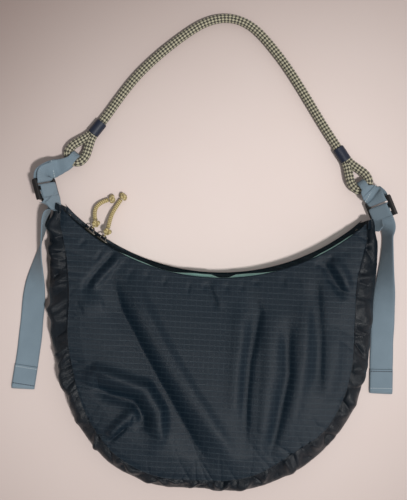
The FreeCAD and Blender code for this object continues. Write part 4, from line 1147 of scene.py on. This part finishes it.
for side in SIDES:
    rounded_copy("slider_body_" + side, 0.35 * MM, metal, "slider_metal", "slider_" + side)
    bail = frame["nodes"]["slider_bail_" + side]
    bail.data.materials.clear()
    bail.data.materials.append(metal)
    rounded_copy("zip_stop_" + side, 0.25 * MM, metal, "slider_metal", "bag", 2)

# ---- the webbing
# Flat blue-grey webbing, 25 mm wide: a strap out of each corner threads its ladder lock and hangs
# on as a tail with a folded, stitched hem, and a sewn link joins each lock to its rope eye.
BAND = 25.0
BAND_THICK = 1.5
woven = Finish("woven_webbing")
across, run, _ = woven.place("UV")
twill = (across * 0.55 + run * 0.87).from_middle() * 2
weave = (across * 1.35).wave(1.0) * 0.5 + (run * 0.9).wave(1.0) * 0.5
selvedge = ((across - BAND / 2).maths("ABSOLUTE") - 10.9).step(0.0, 0.9)
yarns = woven.mix(weave * 0.55 + woven.cloud(60.0, 4.0) * 0.35, tint(96, 113, 125), tint(132, 151, 164))
webbing = woven.surface(
    Base_Color=woven.mix(selvedge * 0.3, yarns, tint(88, 105, 117)),
    Roughness=0.8,
    Normal=woven.bump(weave + twill * 0.3, 0.00035, 0.6),
    Sheen_Weight=0.1,
    Sheen_Roughness=0.5,
)

LOCKS = {"left": ((-183.5, 181.5, 18.5), 18.0, 55.0), "right": ((180.0, 177.5, 18.5), 25.0, -42.0)}


def lock_place(side):
    """A ladder lock's frame in millimetres: X along its bars, Y towards the handle, Z its strap side."""
    spot, lean, roll = LOCKS[side]
    return (Matrix.Translation(spot) @ Matrix.Rotation(math.radians(lean), 4, "Z")
            @ Matrix.Rotation(math.radians(roll), 4, "Y"))


def catmull(values, per_run):
    """A smooth line through values, with per_run steps between each two."""
    ends = np.concatenate([[2 * values[0] - values[1]], values, [2 * values[-1] - values[-2]]])
    t = (np.arange(per_run) / per_run)[:, None]
    made = []
    for p0, p1, p2, p3 in zip(ends, ends[1:], ends[2:], ends[3:]):
        made.append(0.5 * (2 * p1 + (p2 - p0) * t + (2 * p0 - 5 * p1 + 4 * p2 - p3) * t ** 2
                           + (3 * p1 - p0 - 3 * p2 + p3) * t ** 3))
    return np.concatenate(made + [values[-1:]])


STATION_GAP = 0.8


def band(name, stations, body, per_run, seed, wander=0.25, soften=0):
    """Webbing through stations: a rounded flat section, its edges wandering slightly.

    A station is a centre, the way its width lies, its width and its thickness.
    """
    table = catmull(np.array([[*centre, *across, wide, thick] for centre, across, wide, thick in stations]), per_run)
    along = distances(table[:, :3])
    even = np.append(np.arange(0, along[-1], STATION_GAP), along[-1])
    table = picked(table, along, even)
    if soften:
        kernel = np.hanning(soften + 2)[1:-1]
        kernel /= kernel.sum()
        for column in table.T[:6]:
            column[:] = np.convolve(np.pad(column, soften // 2, mode="edge"), kernel, "valid")
    line, side, wide, thick = table[:, :3], table[:, 3:6], table[:, 6:7], table[:, 7:]
    along = np.gradient(line, axis=0)
    along /= np.linalg.norm(along, axis=1)[:, None]
    side -= along * (side * along).sum(1)[:, None]
    side /= np.linalg.norm(side, axis=1)[:, None]
    normal = np.cross(side, along)
    picker = np.random.RandomState(seed)
    waves = [(picker.uniform(0.02, 0.2), picker.uniform(0, 6.3)) for _ in range(5)]
    edge = sum(np.sin(even * pace + phase) for pace, phase in waves)[:, None] * wander / 2
    upper = [(share, 0.5 * math.sqrt(1 - 0.75 * abs(share) ** 8)) for share in np.linspace(-1, 1, 17)]
    share, height = np.array(upper + [(share, -height) for share, height in reversed(upper)]).T
    verts = line[:, None] + side[:, None] * (share * (wide / 2 + edge * 0.3))[..., None]
    verts = verts + normal[:, None] * (height * thick)[..., None]
    count = len(share)
    caps = [range(count), range(len(line) * count - 1, (len(line) - 1) * count - 1, -1)]
    uv = list(grid_uv(BAND / 2 * (1 + np.append(share, share[0])), even)) + [(0.0, 0.0)] * (2 * count)
    piece = as_piece(name, verts.reshape(-1, 3) * MM, grid_faces(len(line), count) + caps, webbing, "webbing", uv)
    if piece.data.polygons[8].normal.dot(Vector(normal[0])) < 0:
        piece.data.flip_normals()
    if body:
        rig.ride(piece, body)
    return piece


def arc_run(centre_y, centre_z, first, last, radius=1.4, steps=4):
    """Points round a quarter of a bar's rounded edge, as (y, z) in the lock's frame."""
    turns = np.radians(np.linspace(first, last, steps + 1))
    return [(centre_y + radius * math.cos(turn), centre_z + radius * math.sin(turn)) for turn in turns]


# the strap's way through the lock, as (y, z) in the lock's frame
THREAD = [(-11.4, 4.8), (-2.85, 4.8)] + arc_run(1.45, 3.4, 90, 0) + arc_run(1.45, -1.9, 0, -90)
THREAD += arc_run(-1.45, -1.9, -90, -180) + arc_run(-4.25, 1.9, 0, 90) + [(-9.4, 3.3), (-15.6, 3.3)]
# each tail's points, and the x and z of the way that its width lies
TAILS = {
    "left": [(-180.6, 152.0, 18.4, 0.2, -0.98), (-183.4, 132.0, 16.4, 0.05, -1.0), (-186.2, 112.0, 14.2, -0.25, -0.97),
             (-188.6, 92.0, 10.4, -0.62, -0.78), (-190.6, 70.0, 5.6, -0.93, -0.34), (-191.8, 46.0, 2.2, -1.0, -0.08),
             (-193.4, 14.0, 1.0, -1.0, 0.0), (-195.8, -14.0, 1.0, -1.0, 0.0), (-198.2, -37.0, 1.0, -1.0, 0.0)],
    "right": [(189.2, 150.0, 14.6, -0.36, -0.93), (190.2, 128.0, 13.2, -0.42, -0.9), (190.2, 106.0, 10.6, -0.62, -0.78),
              (190.2, 84.0, 7.2, -0.85, -0.5), (190.4, 62.0, 3.8, -0.97, -0.22), (190.8, 40.0, 1.5, -1.0, -0.03),
              (191.4, 14.0, 1.0, -1.0, 0.0), (192.6, -21.0, 1.0, -1.0, 0.0)],
}
ANCHORS = {"left": ((-167.5, 158.0, 15.0), (0.42, 0.0, -0.9)), "right": ((171.5, 158.0, 15.0), (0.7, 0.0, 0.7))}

HEM = 23.0
strap_ends = {}
for side in SIDES:
    place = lock_place(side)
    bars = np.array(place.to_3x3() @ Vector((1, 0, 0)))
    threaded = [np.array(place @ Vector((0, y, z))) for y, z in THREAD]
    start, first_across = np.array(ANCHORS[side])
    end = threaded[0]
    standing = [(start * (1 - share) + end * share, first_across * (1 - share) + bars * share, wide, BAND_THICK)
                for share, wide in zip((0.0, 0.25, 0.5, 0.75, 1.0), (13.0, 20.0, BAND, BAND, BAND))]
    lead = band("strap_" + side + "_standing", standing, None, 4, 11)
    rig.blend(lead, "bag", "straps", start=tuple(start * MM), end=tuple(end * MM))
    band("strap_" + side + "_threaded", [(point, bars, BAND, BAND_THICK) for point in threaded[:-1]], "handle", 6, 12)
    tail_points = threaded[-2:] + [np.array(point[:3]) for point in TAILS[side]]
    tail_across = [bars, bars] + [np.array((-point[3], 0.0, -point[4])) for point in TAILS[side]]
    end = tail_points[-1]
    down = end - tail_points[-2]
    down /= np.linalg.norm(down)
    up = np.array((0.0, 0.0, BAND_THICK + 0.05))
    # the hem is the tail's end, turned up and laid back on it
    tail_points += [end + down * 0.8 + up / 2] + [end - down * back + up for back in (0, 6, 14, HEM)]
    tail_across += [tail_across[-1]] * 5
    tail = band("strap_" + side + "_tail", [(*pair, BAND, BAND_THICK) for pair in zip(tail_points, tail_across)],
                "straps", 6, 13)
    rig.replaces(lead, "strap_" + side)
    gather = {"joint": "strap_adjust", "axis": (0, 1, 0), "anchor": tuple(threaded[-1] * MM), "keep": 0.3}
    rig.squash(tail, **gather)
    strap_ends[side] = (end + up * 1.5, down, np.cross(down, (0.0, 0.0, 1.0)), gather)

REAR_BAR_Y = 8.8
EYE_BACK = 9.0
LINK_WIDE, LINK_THICK = 9.0, 3.0
BAR_WRAP = 2.0 + 0.3 + 0.75
ROPE_WRAP = 5.0 + 0.75 + 0.9 + 1.3


def link_run(side):
    """The link's stations: round the eye's bend, back to the lock's rear bar and on to its hem."""
    lock = lock_place(side)
    eye = Matrix.Translation(eye_place(side).translation / MM) @ eye_place(side).to_3x3().to_4x4()
    start, end = lock @ Vector((0, REAR_BAR_Y, 0)), eye @ Vector((-EYE_BACK, 0, 0))
    start_across, start_along = lock.to_3x3() @ Vector((1, 0, 0)), lock.to_3x3() @ Vector((0, 1, 0))
    end_across, end_along = eye.to_3x3() @ Vector((0, -1, 0)), eye.to_3x3() @ Vector((1, 0, 0))
    span = (end - start).length
    poles = [start, start + start_along * span * 0.4, end - end_along * span * 0.4, end]

    def spine(share):
        """The link's middle line, a smooth bend from the lock's bar to the eye."""
        rest = 1 - share
        point = poles[0] * rest ** 3 + poles[1] * (3 * rest ** 2 * share)
        point += poles[2] * (3 * rest * share ** 2) + poles[3] * share ** 3
        along = (poles[1] - poles[0]) * rest ** 2 + (poles[2] - poles[1]) * (2 * rest * share)
        along = (along + (poles[3] - poles[2]) * share ** 2).normalized()
        mixed = share * share * (3 - 2 * share)
        sideways = start_across * (1 - mixed) + end_across * mixed
        sideways = (sideways - along * along.dot(sideways)).normalized()
        return point, along, sideways, sideways.cross(along)

    def layers(shares, sign, extra=0.0):
        """Stations above or below the middle line, gathered towards the eye."""
        for share in shares:
            point, _, sideways, normal = spine(share)
            gather = max(0.0, (share - 0.2) / 0.8) ** 1.2
            wide = BAND + (LINK_WIDE - BAND) * gather
            thick = BAND_THICK + (LINK_THICK - BAND_THICK) * gather
            lift_start = BAR_WRAP * min(1, max(0, 1 - (share * span - BAR_WRAP) / (2 * BAR_WRAP)))
            lift_end = ROPE_WRAP * min(1, max(0, 1 - ((1 - share) * span - ROPE_WRAP * 0.8) / (1.2 * ROPE_WRAP)))
            lift = max(thick / 2 + 0.05, lift_start, lift_end) + extra
            yield point + normal * (sign * lift), sideways, wide, thick

    def wrap(share, radius, first, last, wide, thick, steps=6):
        """Stations round a bar or the rope."""
        point, along, sideways, normal = spine(share)
        for step in range(1, steps):
            angle = math.radians(first + (last - first) * step / steps)
            yield point + (along * math.cos(angle) + normal * math.sin(angle)) * radius, sideways, wide, thick

    return [*layers((0.42, 0.52, 0.64, 0.78, 0.9, 1.0), 1),
            *wrap(1.0, ROPE_WRAP, 90, -90, LINK_WIDE, LINK_THICK),
            *layers((1.0, 0.9, 0.78, 0.64, 0.52, 0.4, 0.28, 0.14, 0.0), -1),
            *wrap(0.0, BAR_WRAP, -90, -270, BAND, BAND_THICK),
            *layers((0.0, 0.14, 0.28), 1),
            *layers((0.42, 0.54), 1, BAND_THICK + 0.1)]


link_hems = {}
for side in SIDES:
    stations = link_run(side)
    link_hems[side] = (stations[-1][0], stations[-1][1].normalized(), (stations[-1][0] - stations[-2][0]).normalized())
    link = band("link_" + side + "_loop", stations, "handle", 5, 21, 0.5, 5)
    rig.replaces(link, "link_webbing_" + side)

# ---- the stitching
# Rows of thick thread: dark across the right tail's hem, pale across the left one's and each link's.
STITCH = 2.4
STITCH_WIDE = 0.9
STITCH_HIGH = 0.32
POINTS_ROUND = 8


def stitch(material):
    """One stitch, a low rounded bead lying along X."""
    verts = []
    for share in np.linspace(-1, 1, 7):
        girth = math.sqrt(max(0.0, 1 - share ** 2)) * 0.85 + 0.15
        for turn in np.linspace(0, 2 * math.pi, POINTS_ROUND, endpoint=False):
            verts.append((share * STITCH / 2 * MM, math.cos(turn) * STITCH_WIDE / 2 * girth * MM,
                          math.sin(turn) * STITCH_HIGH * girth * MM))
    faces = [face[::-1] for face in grid_faces(7, POINTS_ROUND)]
    faces += [range(POINTS_ROUND), range(len(verts) - 1, len(verts) - 1 - POINTS_ROUND, -1)]
    return as_piece("one_stitch", verts, faces, material)


def stitch_row(name, material, middle, half_way, count, up, slot, body):
    """A straight row of stitches across webbing, half_way to each side of its middle."""
    x_way, z_way = Vector(half_way).normalized(), Vector(up).normalized()
    turn = Matrix((x_way, z_way.cross(x_way), z_way)).transposed().to_euler()

    def along_row(nodes, given):
        row = nodes.node("GeometryNodeMeshLine", {"mode": "END_POINTS"}, {
            "Count": given.also("Count"), "Start Location": Vector(middle - half_way) * MM,
            "Offset": Vector(middle + half_way) * MM})
        return row, turn

    row = repeated(name, stitch(material), {"Count": count}, along_row)
    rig.slot(row, slot)
    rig.ride(row, body)
    return row


def thread_finish(name, low, high):
    """Twisted polyester thread with a soft shine."""
    finish = Finish(name)
    return finish.surface(
        Base_Color=finish.mix(finish.cloud(900.0), low, high),
        Roughness=0.5,
        Normal=finish.bump(finish.cloud(2400.0, 2.0), 0.0001, 0.4),
    )


dark_thread = thread_finish("dark_thread", tint(22, 28, 40), tint(36, 44, 60))
pale_thread = thread_finish("pale_thread", tint(150, 164, 172), tint(176, 188, 194))
for side, threads in (("right", (dark_thread, pale_thread)), ("left", (pale_thread, dark_thread))):
    corner, down, across, gather = strap_ends[side]
    across = across / np.linalg.norm(across)
    for word, offset, material in zip(("upper", "lower"), (21.0, 2.6), threads):
        row = stitch_row("hem_stitches_" + side + "_" + word, material, corner - down * offset, across * 10.8, 9,
                         (0, 0, 1), "whipping_thread" if material == dark_thread else "webbing", "straps")
        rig.squash(row, **gather)
    end_spot, sideways, along = link_hems[side]
    outward = sideways.cross(along).normalized()
    middle = end_spot - along * 2.5 + outward * (BAND_THICK / 2 + 0.05)
    stitch_row("link_stitches_" + side, pale_thread, middle, sideways * 10, 8, outward, "webbing", "handle")

# ---- the ladder locks
# Moulded black acetal: a frame with a grip bar, a round rear bar and a lifting tab, its edges
# softly rounded and its faces finely textured.
moulded = Finish("moulded_acetal")
acetal = moulded.surface(
    Base_Color=moulded.mix(moulded.cloud(90.0), tint(20, 20, 21), tint(30, 30, 31)),
    Roughness=moulded.cloud(200.0) * 0.15 + 0.38,
    Normal=moulded.bump(moulded.cloud(1800.0, 2.0), 0.00006, 0.5),
)
for side in SIDES:
    rounded_copy("ladder_lock_" + side, 0.5 * MM, acetal, "lock_plastic", "handle")

# ---- the corner tabs
# A short fold of gusset nylon closes each corner of the pouch, where the strap is sewn in.
for side in SIDES:
    tab = rounded_copy("corner_tab_" + side, 0.6 * MM, side_nylon, "gusset_nylon", "bag")
    spots = np.array([vertex.co for vertex in tab.data.vertices]) / MM
    tab.data.vertices.foreach_set("co", (pinched(spots) * MM).ravel())
    tab.data.update()

# ---- done
json.dump({"cad": cad_box, "visual": [list(corner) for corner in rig.bounds()]}, open("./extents.json", "w"))
